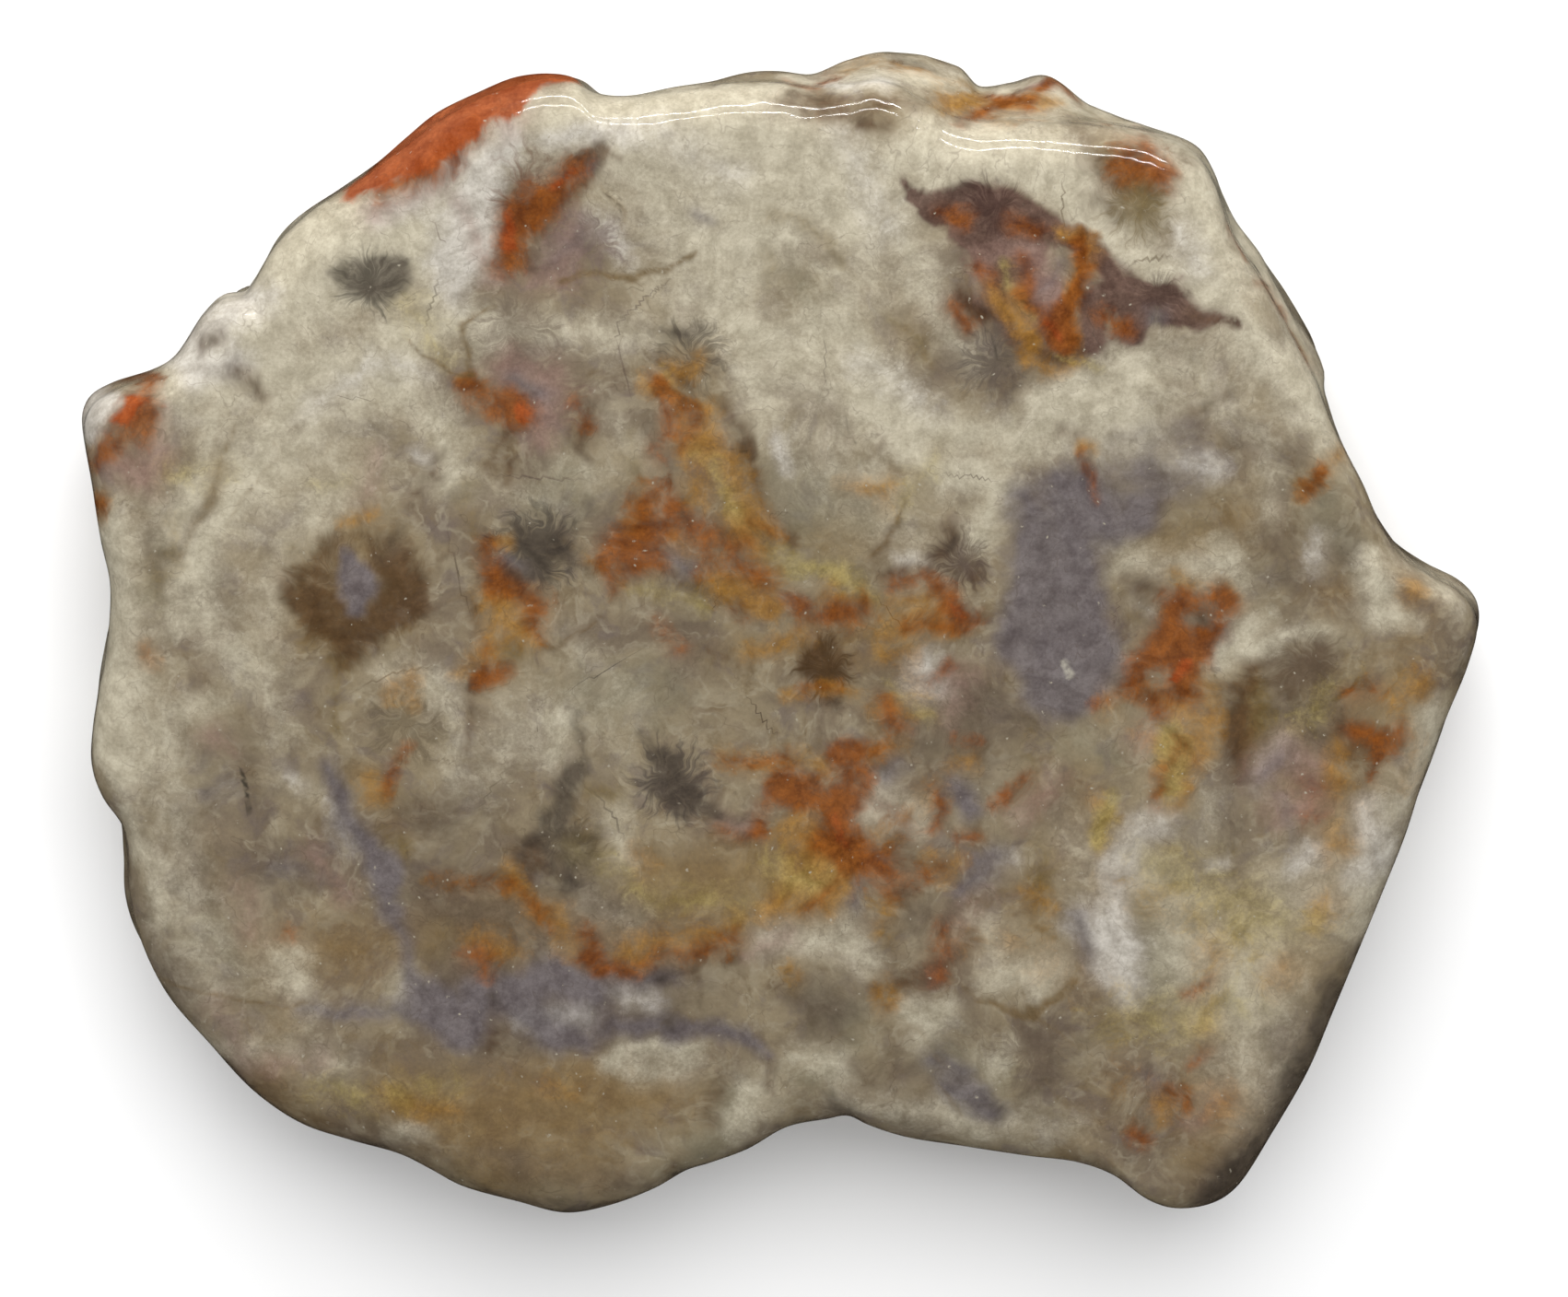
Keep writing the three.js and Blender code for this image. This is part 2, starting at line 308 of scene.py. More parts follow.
@dataclass
class MeshDraft:
    """Points and triangles of a closed surface while it is put together ring by ring."""

    points: list[np.ndarray] = field(default_factory=list)
    faces: list[np.ndarray] = field(default_factory=list)
    count: int = 0
    # How far two turns may differ and still count as the same
    slack: float = 1e-9

    def ring(self, places: np.ndarray) -> np.ndarray:
        """Adds a ring of points.

        Args:
            places: The points.

        Returns:
            Their numbers in the draft.
        """
        self.points.append(places)
        numbers = np.arange(self.count, self.count + len(places))
        self.count += len(places)
        return numbers

    def band(self, outer: np.ndarray, inner: np.ndarray, flip: bool = False) -> None:
        """Fills the band between two rings that start on one ray.

        Args:
            outer: Numbers of the outer ring's points.
            inner: Numbers of the inner ring's points, as many or fewer.
            flip: Whether the band faces down.
        """
        outer_next = (np.arange(len(outer)) + 1.0) / len(outer)
        inner_next = (np.arange(len(inner)) + 1.0) / len(inner)
        along_outer = np.searchsorted(inner_next, outer_next - self.slack, side="left")
        along_inner = np.searchsorted(outer_next, inner_next + self.slack, side="right")
        first = np.column_stack([outer, inner[along_outer % len(inner)], np.roll(outer, -1)])
        second = np.column_stack([inner, np.roll(inner, -1), outer[along_inner % len(outer)]])
        faces = np.vstack([first, second])
        self.faces.append(faces[:, ::-1] if flip else faces)

    def cap(self, ring: np.ndarray, rings: list[np.ndarray], height: float, flip: bool = False) -> None:
        """Fills a ring with smaller rings and a fan to one point in the middle.

        Args:
            ring: Numbers of the outer ring's points.
            rings: The smaller rings, from the outside in.
            height: The height of the middle.
            flip: Whether the cap faces down.
        """
        for places in rings:
            inner = self.ring(places)
            self.band(ring, inner, flip)
            ring = inner
        tip = self.ring(np.array([[0.0, 0.0, height]]))[0]
        faces = np.column_stack([ring, np.full(len(ring), tip), np.roll(ring, -1)])
        self.faces.append(faces[:, ::-1] if flip else faces)

    def object(self, name: str) -> bpy.types.Object:
        """Makes the Blender object from the draft's millimetres.

        Args:
            name: The object's name.

        Returns:
            The new object, linked to the scene.
        """
        mesh = bpy.data.meshes.new(name)
        mesh.from_pydata((np.vstack(self.points) * MM).tolist(), [], np.vstack(self.faces).tolist())
        mesh.shade_smooth()
        made = bpy.data.objects.new(name, mesh)
        bpy.context.scene.collection.objects.link(made)
        return made


@dataclass
class LatticeNoise:
    """Smooth value noise on a repeating lattice, in octaves of half the length and height of the last."""

    seed: int
    length: float
    octaves: int
    height: float
    size: int = 32
    # Keeps the octaves' lattices from lining up
    octave_shift: float = 7.3
    values: np.ndarray = field(init=False)

    def __post_init__(self) -> None:
        """Fills the lattice with seeded random values."""
        self.values = np.random.default_rng(self.seed).uniform(-1.0, 1.0, (self.size,) * 3)

    def at(self, points: np.ndarray) -> np.ndarray:
        """Samples the noise.

        Args:
            points: Rows of three coordinates, in millimetres.

        Returns:
            One value for each point.
        """
        total = np.zeros(len(points))
        for octave in range(self.octaves):
            scaled = points / self.length * 2**octave + self.octave_shift * octave
            cell = np.floor(scaled).astype(int)
            share = scaled - cell
            share = share * share * (3 - 2 * share)
            value = np.zeros(len(points))
            for corner in np.ndindex(2, 2, 2):
                weight = np.prod(np.where(corner, share, 1 - share), axis=1)
                x, y, z = ((cell + corner) % self.size).T
                value += weight * self.values[x, y, z]
            total += value / 2**octave
        return total * self.height


class Pigment(Enum):
    """What colours the stone, each a field over its surface: the stone's own stains, and also strokes of
    painted shade along the lower edges and of painted highlight along the upper rim.
    """

    CREAM = "cream"
    SAGE = "sage"
    TAN = "tan"
    SHADE = "shade"
    WHITE = "white"
    PINK = "pink"
    LAVENDER = "lavender"
    OLIVE = "olive"
    BROWN = "brown"
    OCHRE = "ochre"
    STRAW = "straw"
    RUST = "rust"
    JASPER = "jasper"
    PLUM = "plum"
    DARK = "dark"
    CRACK = "crack"
    THREAD = "thread"
    FROST = "frost"


@dataclass(frozen=True)
class Stroke:
    """One stroke of a pigment: a chain of discs in the plane of the photograph's view, in millimetres.

    Attributes:
        soft: Half the width over which its edge fades.
        strength: How full it is, from 0 to 1.
        chain: Places along it as x, y and half width.
    """

    soft: float
    strength: float
    chain: np.ndarray

    def lay(self, u: np.ndarray, v: np.ndarray, total: np.ndarray) -> None:
        """Adds the stroke to a pigment's field, with half its strength at its edge.

        Args:
            u: Places across the view.
            v: Places up the view.
            total: The field so far at each place, changed where the stroke reaches.
        """
        across, up, half = self.chain.T
        reach = self.soft + half.max()
        near = (u > across.min() - reach) & (u < across.max() + reach)
        near = np.flatnonzero(near & (v > up.min() - reach) & (v < up.max() + reach))
        u, v = u[near], v[near]
        depth = np.full(len(near), -reach)
        for (u0, v0, w0), (u1, v1, w1) in zip(self.chain, self.chain[1:]):
            du, dv = u1 - u0, v1 - v0
            along = np.clip(((u - u0) * du + (v - v0) * dv) / (du * du + dv * dv), 0.0, 1.0)
            gap = np.hypot(u - u0 - along * du, v - v0 - along * dv)
            depth = np.maximum(depth, w0 + (w1 - w0) * along - gap)
        cover = np.clip(0.5 + depth / (2 * self.soft), 0.0, 1.0) * self.strength
        total[near] = 1 - (1 - total[near]) * (1 - cover)


@dataclass(frozen=True)
class Texture:
    """One size of noise in the stone: its cells a millimetre, octaves, roughness and twist into wisps."""

    per_mm: float
    detail: float
    rough: float = 0.5
    twist: float = 0.0


class Sketch:
    """Adds nodes to one tree, a line each."""

    def __init__(self, tree: bpy.types.NodeTree) -> None:
        """Starts on a tree."""
        self.tree = tree

    def feed(self, socket: bpy.types.NodeSocket, value: object) -> None:
        """Links a socket to another, or gives it a plain value.

        Args:
            socket: The input.
            value: The output that feeds it, or its value.
        """
        if isinstance(value, bpy.types.NodeSocket):
            self.tree.links.new(value, socket)
        else:
            socket.default_value = value

    def node(self, kind: str, settings: dict | None = None, **inputs: object) -> bpy.types.Node:
        """Adds a node.

        Args:
            kind: The node's type, without its ShaderNode prefix.
            settings: Its own properties.
            inputs: Its sockets by name, with underscores for spaces.

        Returns:
            The node.
        """
        made = self.tree.nodes.new("ShaderNode" + kind)
        for name, value in (settings or {}).items():
            setattr(made, name, value)
        for name, value in inputs.items():
            self.feed(made.inputs[name.replace("_", " ")], value)
        return made

    def math(self, operation: str, *values: object) -> bpy.types.NodeSocket:
        """Does a sum on single values.

        Args:
            operation: What the Math node does.
            values: Up to three values.

        Returns:
            The result.
        """
        made = self.node("Math", {"operation": operation})
        for socket, value in zip(made.inputs, values):
            self.feed(socket, value)
        return made.outputs[0]

    def vector(self, operation: str, *values: object) -> bpy.types.NodeSocket:
        """Does a sum on vectors.

        Args:
            operation: What the Vector Math node does.
            values: Up to three vectors, or a vector and what scales it.

        Returns:
            The vector or the length that it makes.
        """
        made = self.node("VectorMath", {"operation": operation})
        inputs = (made.inputs[0], made.inputs["Scale"]) if operation == "SCALE" else made.inputs
        for socket, value in zip(inputs, values):
            self.feed(socket, value)
        return made.outputs["Value" if operation == "LENGTH" else "Vector"]

    def blend(self, first: object, share: float, second: object, other: float) -> bpy.types.NodeSocket:
        """Returns the sum of a value times its share and a second one times its other share."""
        return self.math("ADD", self.math("MULTIPLY", first, share), self.math("MULTIPLY", second, other))

    def mix(self, share: object, first: object, second: object, blend: str = "MIX") -> bpy.types.NodeSocket:
        """Mixes two colours.

        Args:
            share: How much of the second there is.
            first: The colour under.
            second: The colour over.
            blend: How the second is laid over the first.

        Returns:
            The mixed colour.
        """
        made = self.node("Mix", {"data_type": "RGBA", "blend_type": blend})
        # The colour sockets of a Mix node are told apart by their places
        for index, value in ((0, share), (6, first), (7, second)):
            self.feed(made.inputs[index], value)
        return made.outputs[2]

    def noise(self, place: object, size: Texture, output: str = "Fac") -> bpy.types.NodeSocket:
        """Adds a noise.

        Args:
            place: Where it is read.
            size: Its size and roughness.
            output: Fac for one value, or Color for three.

        Returns:
            The noise's output.
        """
        made = self.node("TexNoise", None, Vector=place, Scale=size.per_mm, Detail=size.detail,
                         Roughness=size.rough, Distortion=size.twist)
        return made.outputs[output]

    def ramp(self, value: object, low: object, high: object) -> bpy.types.NodeSocket:
        """Makes a smooth step.

        Args:
            value: What is stepped.
            low: Where the step is 0.
            high: Where the step is 1.

        Returns:
            The step.
        """
        made = self.node("MapRange", {"interpolation_type": "SMOOTHSTEP"}, Value=value, From_Min=low,
                         From_Max=high)
        return made.outputs["Result"]

    def painted(self, name: str, output: str = "Fac") -> bpy.types.NodeSocket:
        """Returns what is painted on the mesh under a name."""
        return self.node("Attribute", {"attribute_name": name}).outputs[output]


def stain_group(bare_below: float = 0.02, bare_above: float = 0.2,
                haze_full: float = 0.95) -> bpy.types.NodeTree:
    """Makes the group that lays one pigment over the stone.

    Args:
        bare_below: The field under which the grain shows nothing.
        bare_above: The field over which it shows in full.
        haze_full: The field at which the haze is full.

    Returns:
        The group. Its edge breaks up with Grain, and its tint runs from Dark to Light with Tone.
    """
    group = bpy.data.node_groups.new("stain", "ShaderNodeTree")
    for kind, direction, names in (
        ("NodeSocketColor", "INPUT", ("Under", "Dark", "Light")),
        ("NodeSocketFloat", "INPUT", ("Field", "Grain", "Tone", "Break", "Level", "Edge", "Haze", "Cover")),
        ("NodeSocketColor", "OUTPUT", ("Color",)),
    ):
        for name in names:
            group.interface.new_socket(name=name, in_out=direction, socket_type=kind)
    sketch = Sketch(group)
    given = group.nodes.new("NodeGroupInput").outputs
    result = group.nodes.new("NodeGroupOutput").inputs
    grain = sketch.math("SUBTRACT", given["Grain"], 0.5)
    broken = sketch.math("MULTIPLY_ADD", grain, given["Break"], given["Field"])
    # Nothing shows where the field is nearly empty, however rough the grain
    broken = sketch.math("MULTIPLY", broken, sketch.ramp(given["Field"], bare_below, bare_above))
    low = sketch.math("SUBTRACT", given["Level"], given["Edge"])
    high = sketch.math("ADD", given["Level"], given["Edge"])
    haze = sketch.math("MULTIPLY", sketch.ramp(given["Field"], 0.0, haze_full), given["Haze"])
    mask = sketch.math("MAXIMUM", sketch.ramp(broken, low, high), haze)
    mask = sketch.math("MULTIPLY", mask, given["Cover"])
    tint = sketch.mix(given["Tone"], given["Dark"], given["Light"])
    sketch.feed(result["Color"], sketch.mix(mask, given["Under"], tint))
    return group


@dataclass(frozen=True)
class Stain:
    """How one pigment looks: its two tints, how broken and how soft its edge is, and how much it covers.

    Its edge lies at a level of its field, and a fainter haze lies round it.
    """

    pigment: Pigment
    dark: str
    light: str
    broken: float
    edge: float
    cover: float
    level: float = 0.5
    haze: float = 0.0

    def lay(self, sketch: Sketch, group: bpy.types.NodeTree, ground: object,
            ways: dict) -> bpy.types.NodeSocket:
        """Lays the pigment over a colour.

        Args:
            sketch: The material's nodes.
            group: The stain group.
            ground: The colour so far.
            ways: The noises that break the edge and vary the tint, by input.

        Returns:
            The colour with the pigment over it.
        """
        laid = sketch.tree.nodes.new("ShaderNodeGroup")
        laid.node_tree = group
        given = ways | {
            "Under": ground, "Field": sketch.painted(self.pigment.value), "Dark": colour(self.dark),
            "Light": colour(self.light), "Break": self.broken, "Edge": self.edge, "Cover": self.cover,
            "Level": self.level, "Haze": self.haze,
        }
        for name, value in given.items():
            sketch.feed(laid.inputs[name], value)
        return laid.outputs["Color"]


@dataclass(frozen=True)
class Hairs:
    """How the bursts of radial hairs look."""

    # The noise that bends them, and how far, as a share of the burst's reach
    bend: Texture = Texture(0.4, 2)
    sway: float = 0.4
    # The noise that draws them, and how fast it changes round the burst and outwards
    strand: Texture = Texture(1.0, 4, 0.7)
    around: float = 4.5
    outwards: float = 0.16
    # How much of that noise shows nothing in the middle, and how much more at the reach
    bare: float = 0.2
    thinner: float = 0.42
    edge: float = 0.24
    # The share of the reach from which they fade out
    fade: float = 0.5

    def draw(self, sketch: Sketch, place: object, ground: object) -> bpy.types.NodeSocket:
        """Draws the bursts over a colour.

        Args:
            sketch: The material's nodes.
            place: The place in the stone, in millimetres.
            ground: The colour so far.

        Returns:
            The colour with the hairs over it.
        """
        sway = sketch.vector("MULTIPLY_ADD", sketch.noise(place, self.bend, "Color"),
                             (2 * self.sway, 2 * self.sway, 0), (-self.sway, -self.sway, 0))
        away = sketch.vector("ADD", sketch.painted("from_burst", "Vector"), sway)
        share = sketch.vector("LENGTH", away)
        # Noise that changes fast round the circle and hardly changes outwards makes the hairs
        spokes = sketch.vector("MULTIPLY", sketch.vector("NORMALIZE", away), (self.around, self.around, 0))
        strand = sketch.noise(sketch.vector("MULTIPLY_ADD", place, (self.outwards,) * 3, spokes), self.strand)
        full = sketch.math("MULTIPLY_ADD", share, -self.thinner, -self.bare)
        drawn = sketch.ramp(sketch.math("ADD", strand, full), 0.0, self.edge)
        drawn = sketch.math("MULTIPLY", drawn, sketch.ramp(share, 1.0, self.fade))
        cover = sketch.math("MULTIPLY", drawn, sketch.painted("burst_tint", "Alpha"))
        return sketch.mix(cover, ground, sketch.painted("burst_tint", "Color"))


@dataclass(frozen=True)
class StoneFinish:
    """The polished stone's finish. Each step says where something begins and is full in its noise."""

    # The share of each tint that is left, so that it is seen as written in the bright studio
    held_back: tuple = (0.475, 0.445, 0.395, 1.0)
    # The ground's clouds, and smaller ones over them: their step, how full they get, and their tint
    ground_tints: tuple = ("938677", "aea28b")
    ground_step: tuple = (0.38, 0.62)
    clouds: tuple = ((0.5, 0.66, 0.6, "c2b9a4"), (0.52, 0.68, 0.55, "86745a"), (0.52, 0.68, 0.5, "857a7c"))
    # Veins: their width in their noise, how full they are, and their tint
    pale_vein: tuple = (0.045, 0.4, "cbc5b3")
    dark_vein: tuple = (0.012, 0.28, "5b4d40")
    vein_step: tuple = (0.4, 0.6)
    # How much of the wider and of the finer noise goes into a pigment's edge and its tone
    shares: tuple = (0.75, 0.25)
    tone_step: tuple = (0.25, 0.75)
    # How much of the mottle and of the grain shades everything, and what that starts from
    shade: tuple = (0.36, 0.42)
    shade_least: float = 0.62
    # Tiny pale flecks: how close they lie, and the distance at which they end and are full
    flecks: tuple = (0.8, 0.13, 0.05)
    fleck_step: tuple = (0.45, 0.6)
    fleck_tint: str = "cfcbbf"
    # The polish, with slow waves of this height in millimetres
    swell_height: float = 0.25
    roughness: float = 0.09
    mirror: float = 0.4
    # The sizes of noise in the stone, and how far the drift draws the others about, in millimetres
    swirl: float = 5.0
    drift: Texture = Texture(0.13, 3)
    cloud: Texture = Texture(0.16, 4, 0.6)
    small_cloud: Texture = Texture(0.34, 4, 0.6)
    vein: Texture = Texture(0.3, 3)
    mottle: Texture = Texture(0.6, 5, 0.58)
    wisp: Texture = Texture(0.55, 5, 0.55, 0.5)
    grain: Texture = Texture(3.4, 4, 0.7)
    swell: Texture = Texture(0.22, 2)
    # The pigments under the hairs and over them, in the order that they are laid
    under: tuple = (
        Stain(Pigment.SAGE, "8d8b79", "a4a392", 0.9, 0.45, 0.7, 0.5, 0.5),
        Stain(Pigment.TAN, "8f754e", "a48b60", 0.9, 0.45, 0.75, 0.5, 0.6),
        # The shade pigment also darkens the lower rims as painted shade; cream and white also make the
        # painted highlight along the upper rim
        Stain(Pigment.SHADE, "675b51", "807368", 0.9, 0.45, 0.8, 0.5, 0.7),
        Stain(Pigment.CREAM, "cec9b7", "f6f3e4", 0.9, 0.42, 0.94, 0.48, 0.75),
        Stain(Pigment.WHITE, "cfccc8", "ffffff", 0.8, 0.4, 0.9, 0.44, 0.7),
        Stain(Pigment.OLIVE, "6b592e", "8f7a45", 1.2, 0.38, 0.8, 0.48, 0.5),
        Stain(Pigment.PLUM, "523b38", "8a7069", 1.2, 0.25, 0.93, 0.42, 0.5),
        Stain(Pigment.BROWN, "4e3929", "72573f", 1.3, 0.36, 0.85, 0.47, 0.5),
    )
    over: tuple = (
        Stain(Pigment.PINK, "a0827c", "bfa39c", 0.9, 0.42, 0.8, 0.48, 0.6),
        Stain(Pigment.LAVENDER, "6c656d", "938e97", 0.3, 0.3, 0.9, 0.42, 0.5),
        Stain(Pigment.OCHRE, "9c6e2c", "cf9c4a", 1.2, 0.42, 0.8, 0.48, 0.55),
        Stain(Pigment.STRAW, "96864c", "d9cb8a", 1.2, 0.38, 0.75, 0.5, 0.35),
        Stain(Pigment.RUST, "6e3714", "b36a2c", 1.2, 0.38, 0.9, 0.47, 0.6),
        Stain(Pigment.JASPER, "9a431d", "c86c3c", 0.9, 0.2, 0.93, 0.42, 0.3),
        # The dark pigment also makes the painted shade along the lower edges
        Stain(Pigment.DARK, "46403c", "6b625a", 1.3, 0.36, 0.8, 0.48, 0.5),
        Stain(Pigment.THREAD, "75603c", "8d7550", 0.7, 0.25, 0.75, 0.45),
        Stain(Pigment.CRACK, "33332e", "4b4741", 0.4, 0.14, 0.85, 0.42),
        Stain(Pigment.FROST, "c9c8c0", "e0dfd8", 0.6, 0.14, 0.75, 0.45),
    )
    hairs: Hairs = Hairs()

    def ground(self, sketch: Sketch, bent: object) -> bpy.types.NodeSocket:
        """Makes the clouded ground.

        Args:
            sketch: The material's nodes.
            bent: The place in the stone, drawn about by the drift.

        Returns:
            Its colour.
        """
        step = sketch.ramp(sketch.noise(bent, self.cloud), *self.ground_step)
        ground = sketch.mix(step, *map(colour, self.ground_tints))
        hues = sketch.node("SeparateColor", None, Color=sketch.noise(bent, self.small_cloud, "Color")).outputs
        for hue, (low, high, cover, tint) in zip(hues, self.clouds):
            share = sketch.math("MULTIPLY", sketch.ramp(hue, low, high), cover)
            ground = sketch.mix(share, ground, colour(tint))
        return ground

    def lay_vein(self, sketch: Sketch, path: object, mottle: object, vein: tuple,
                 ground: object) -> bpy.types.NodeSocket:
        """Lays one kind of vein over a colour.

        Args:
            sketch: The material's nodes.
            path: The noise that the veins follow where it is half way up.
            mottle: The noise that breaks them up.
            vein: Their width, how full they are, and their tint.
            ground: The colour so far.

        Returns:
            The colour with the veins over it.
        """
        width, cover, tint = vein
        away = sketch.math("ABSOLUTE", sketch.math("SUBTRACT", path, 0.5))
        drawn = sketch.math("MULTIPLY", sketch.ramp(away, width, 0.0), sketch.ramp(mottle, *self.vein_step))
        return sketch.mix(sketch.math("MULTIPLY", drawn, cover), ground, colour(tint))

    def material(self) -> bpy.types.Material:
        """Makes the material.

        Returns:
            The polished stone.
        """
        made = bpy.data.materials.new("polished_stone")
        made.use_nodes = True
        sketch = Sketch(made.node_tree)
        shader = made.node_tree.nodes["Principled BSDF"]
        place = sketch.vector("SCALE", sketch.node("TexCoord").outputs["Object"], 1 / MM)
        drift = sketch.noise(place, self.drift, "Color")
        bent = sketch.vector("MULTIPLY_ADD", drift, (self.swirl,) * 3, place)
        mottle, wisp = sketch.noise(bent, self.mottle), sketch.noise(bent, self.wisp)
        grain = sketch.noise(place, self.grain)
        paths = sketch.node("SeparateColor", None, Color=sketch.noise(bent, self.vein, "Color")).outputs
        wider, finer = self.shares
        tone = sketch.ramp(sketch.blend(mottle, wider, grain, finer), *self.tone_step)
        ways = {"Grain": sketch.blend(wisp, wider, grain, finer), "Tone": tone}
        group = stain_group()
        ground = self.lay_vein(sketch, paths[0], mottle, self.pale_vein, self.ground(sketch, bent))
        for stain in self.under:
            ground = stain.lay(sketch, group, ground, ways)
        ground = self.hairs.draw(sketch, place, ground)
        for stain in self.over:
            ground = stain.lay(sketch, group, ground, ways)
        ground = self.lay_vein(sketch, paths[1], mottle, self.dark_vein, ground)
        shade = sketch.blend(mottle, self.shade[0], grain, self.shade[1])
        shaded = sketch.vector("SCALE", ground, sketch.math("ADD", shade, self.shade_least))
        per_mm, end, full = self.flecks
        fleck = sketch.node("TexVoronoi", {"feature": "F1"}, Vector=bent, Scale=per_mm).outputs["Distance"]
        fleck = sketch.math("MULTIPLY", sketch.ramp(fleck, end, full), sketch.ramp(grain, *self.fleck_step))
        seen = sketch.mix(fleck, shaded, colour(self.fleck_tint))
        sketch.feed(shader.inputs["Base Color"], sketch.mix(1.0, seen, self.held_back, "MULTIPLY"))
        swell = sketch.noise(place, self.swell)
        bump = sketch.node("Bump", None, Strength=1.0, Distance=self.swell_height * MM, Height=swell)
        sketch.feed(shader.inputs["Normal"], bump.outputs["Normal"])
        shader.inputs["Roughness"].default_value = self.roughness
        shader.inputs["Specular IOR Level"].default_value = self.mirror
        return made


@dataclass(frozen=True)
class View:
    """The plane that the photograph's view looks on, tilted from straight above about a height.

    Attributes:
        tilt: How far the view leans from straight above, in radians.
        depth: The height that it leans about, in millimetres.
    """

    tilt: float = math.radians(10)
    depth: float = 16.5

    def flatten(self, points: np.ndarray) -> list[np.ndarray]:
        """Returns how far across and how far up the view each point lies."""
        up = points[:, 1] * math.cos(self.tilt) - (points[:, 2] - self.depth) * math.sin(self.tilt)
        return [points[:, 0], up]


@dataclass
class CoproliteSlice:
    """The slice itself: its mesh and its markings, with how far it was shifted to centre it."""

    form: SliceForm = field(default_factory=SliceForm)
    view: View = View()
    # Roughens the outlines of the markings
    wander: LatticeNoise = field(default_factory=lambda: LatticeNoise(3, 2.2, 3, 0.45))
    # Draws the markings about on the side, from so far below the top
    ripple: LatticeNoise = field(default_factory=lambda: LatticeNoise(8, 14, 2, 9))
    ripple_below: float = 3.5
    # How far apart each noise is read for across and for up
    apart: tuple = (41.0, 17.0, 5.0)
    shift: np.ndarray = field(init=False)

    def build(self) -> bpy.types.Object:
        """Builds the slice's closed mesh, centred on the solid that it stands for.

        Returns:
            The slice.
        """
        form, draft = self.form, MeshDraft()
        levels = [draft.ring(places) for places in form.section(form.stations(form.around))]
        for upper, lower in zip(levels, levels[1:]):
            draft.band(lower, upper)
        perimeter = np.linalg.norm(np.diff(draft.points[0], axis=0), axis=1).sum()
        face, back = (form.flat_rings(perimeter, spacing, top)
                      for spacing, top in ((form.face_spacing, True), (form.back_spacing, False)))
        draft.cap(levels[0], face, float(form.face_height(*np.zeros(2))))
        draft.cap(levels[-1], back, 0.0, flip=True)
        low, high = (np.array(corner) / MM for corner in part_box(NODE))
        points = np.vstack(draft.points)
        # The finer mesh bulges a hair past the faceted solid, so it is drawn in to the solid's own box
        points = points * ((high - low) / np.ptp(points, axis=0))
        shift = (low + high - points.min(0) - points.max(0)) / 2 * (1, 1, 0)
        draft.points = [points + shift]
        self.shift = shift
        made = draft.object("coprolite_slice")
        LOG.info("slice: %d faces, moved by %s mm", len(made.data.polygons), np.round(shift, 2))
        return made

    def paint(self, piece: bpy.types.Object) -> None:
        """Writes one attribute for each pigment, from the strokes laid over the surface.

        Args:
            piece: The slice.
        """
        mesh = piece.data
        points = np.empty(len(mesh.vertices) * 3)
        mesh.vertices.foreach_get("co", points)
        points = points.reshape(-1, 3) / MM - self.shift
        thickness = self.form.thickness
        depth = np.clip((thickness - self.ripple_below - points[:, 2]) / thickness, 0, 1)
        places = self.view.flatten(points)
        self.paint_bursts(mesh, *places)
        u, v = (flat + self.wander.at(points + offset) + depth * self.ripple.at(points + offset)
                for flat, offset in zip(places, np.array([[0, 0, 0], self.apart])))
        for pigment in Pigment:
            total = np.zeros(len(u))
            for soft, strength, *chain in STROKES[pigment]:
                Stroke(soft, strength, np.reshape(np.array(chain, float), (-1, 3))).lay(u, v, total)
            self.write(mesh, pigment.value, "FLOAT", "value", total)

    def paint_bursts(self, mesh: bpy.types.Mesh, u: np.ndarray, v: np.ndarray) -> None:
        """Writes where each vertex lies from its nearest burst of hairs, and the tint of that burst.

        Args:
            mesh: The slice's mesh.
            u: The vertices' places across the view.
            v: Their places up the view.
        """
        away = np.array([[(u - x) / reach, (v - y) / reach] for x, y, reach, *_ in BURSTS])
        nearest = np.argmin(np.hypot(away[:, 0], away[:, 1]), axis=0)
        each = np.arange(len(u))
        offsets = np.column_stack([away[nearest, 0, each], away[nearest, 1, each], np.zeros(len(u))])
        tints = np.array([(*colour(tint)[:3], cover) for *_, tint, cover in BURSTS])[nearest]
        self.write(mesh, "from_burst", "FLOAT_VECTOR", "vector", offsets)
        self.write(mesh, "burst_tint", "FLOAT_COLOR", "color", tints)

    def write(self, mesh: bpy.types.Mesh, name: str, kind: str, part: str, values: np.ndarray) -> None:
        """Writes an attribute of the mesh.

        Args:
            mesh: The slice's mesh.
            name: The attribute's name.
            kind: Its type.
            part: What each of its values is called.
            values: A value for each vertex.
        """
        attribute = mesh.attributes.new(name, kind, "POINT")
        attribute.data.foreach_set(part, values.astype(np.float32).ravel())


@dataclass(frozen=True)
class Lamp:
    """A soft rectangular light that faces the slice, in metres, and whether the polish mirrors it."""

    name: str
    place: tuple
    size: tuple
    watts: float
    mirrored: bool = False

    def build(self) -> None:
        """Builds the light, turned to the middle of the table."""
        data = bpy.data.lights.new(self.name, "AREA")
        data.shape = "RECTANGLE"
        data.size, data.size_y = self.size
        data.energy = self.watts
        lamp = bpy.data.objects.new(self.name, data)
        bpy.context.scene.collection.objects.link(lamp)
        lamp.location = self.place
        lamp.visible_glossy = self.mirrored
        lamp.rotation_mode = "QUATERNION"
        lamp.rotation_quaternion = (-Vector(self.place)).to_track_quat("-Z", "Y")


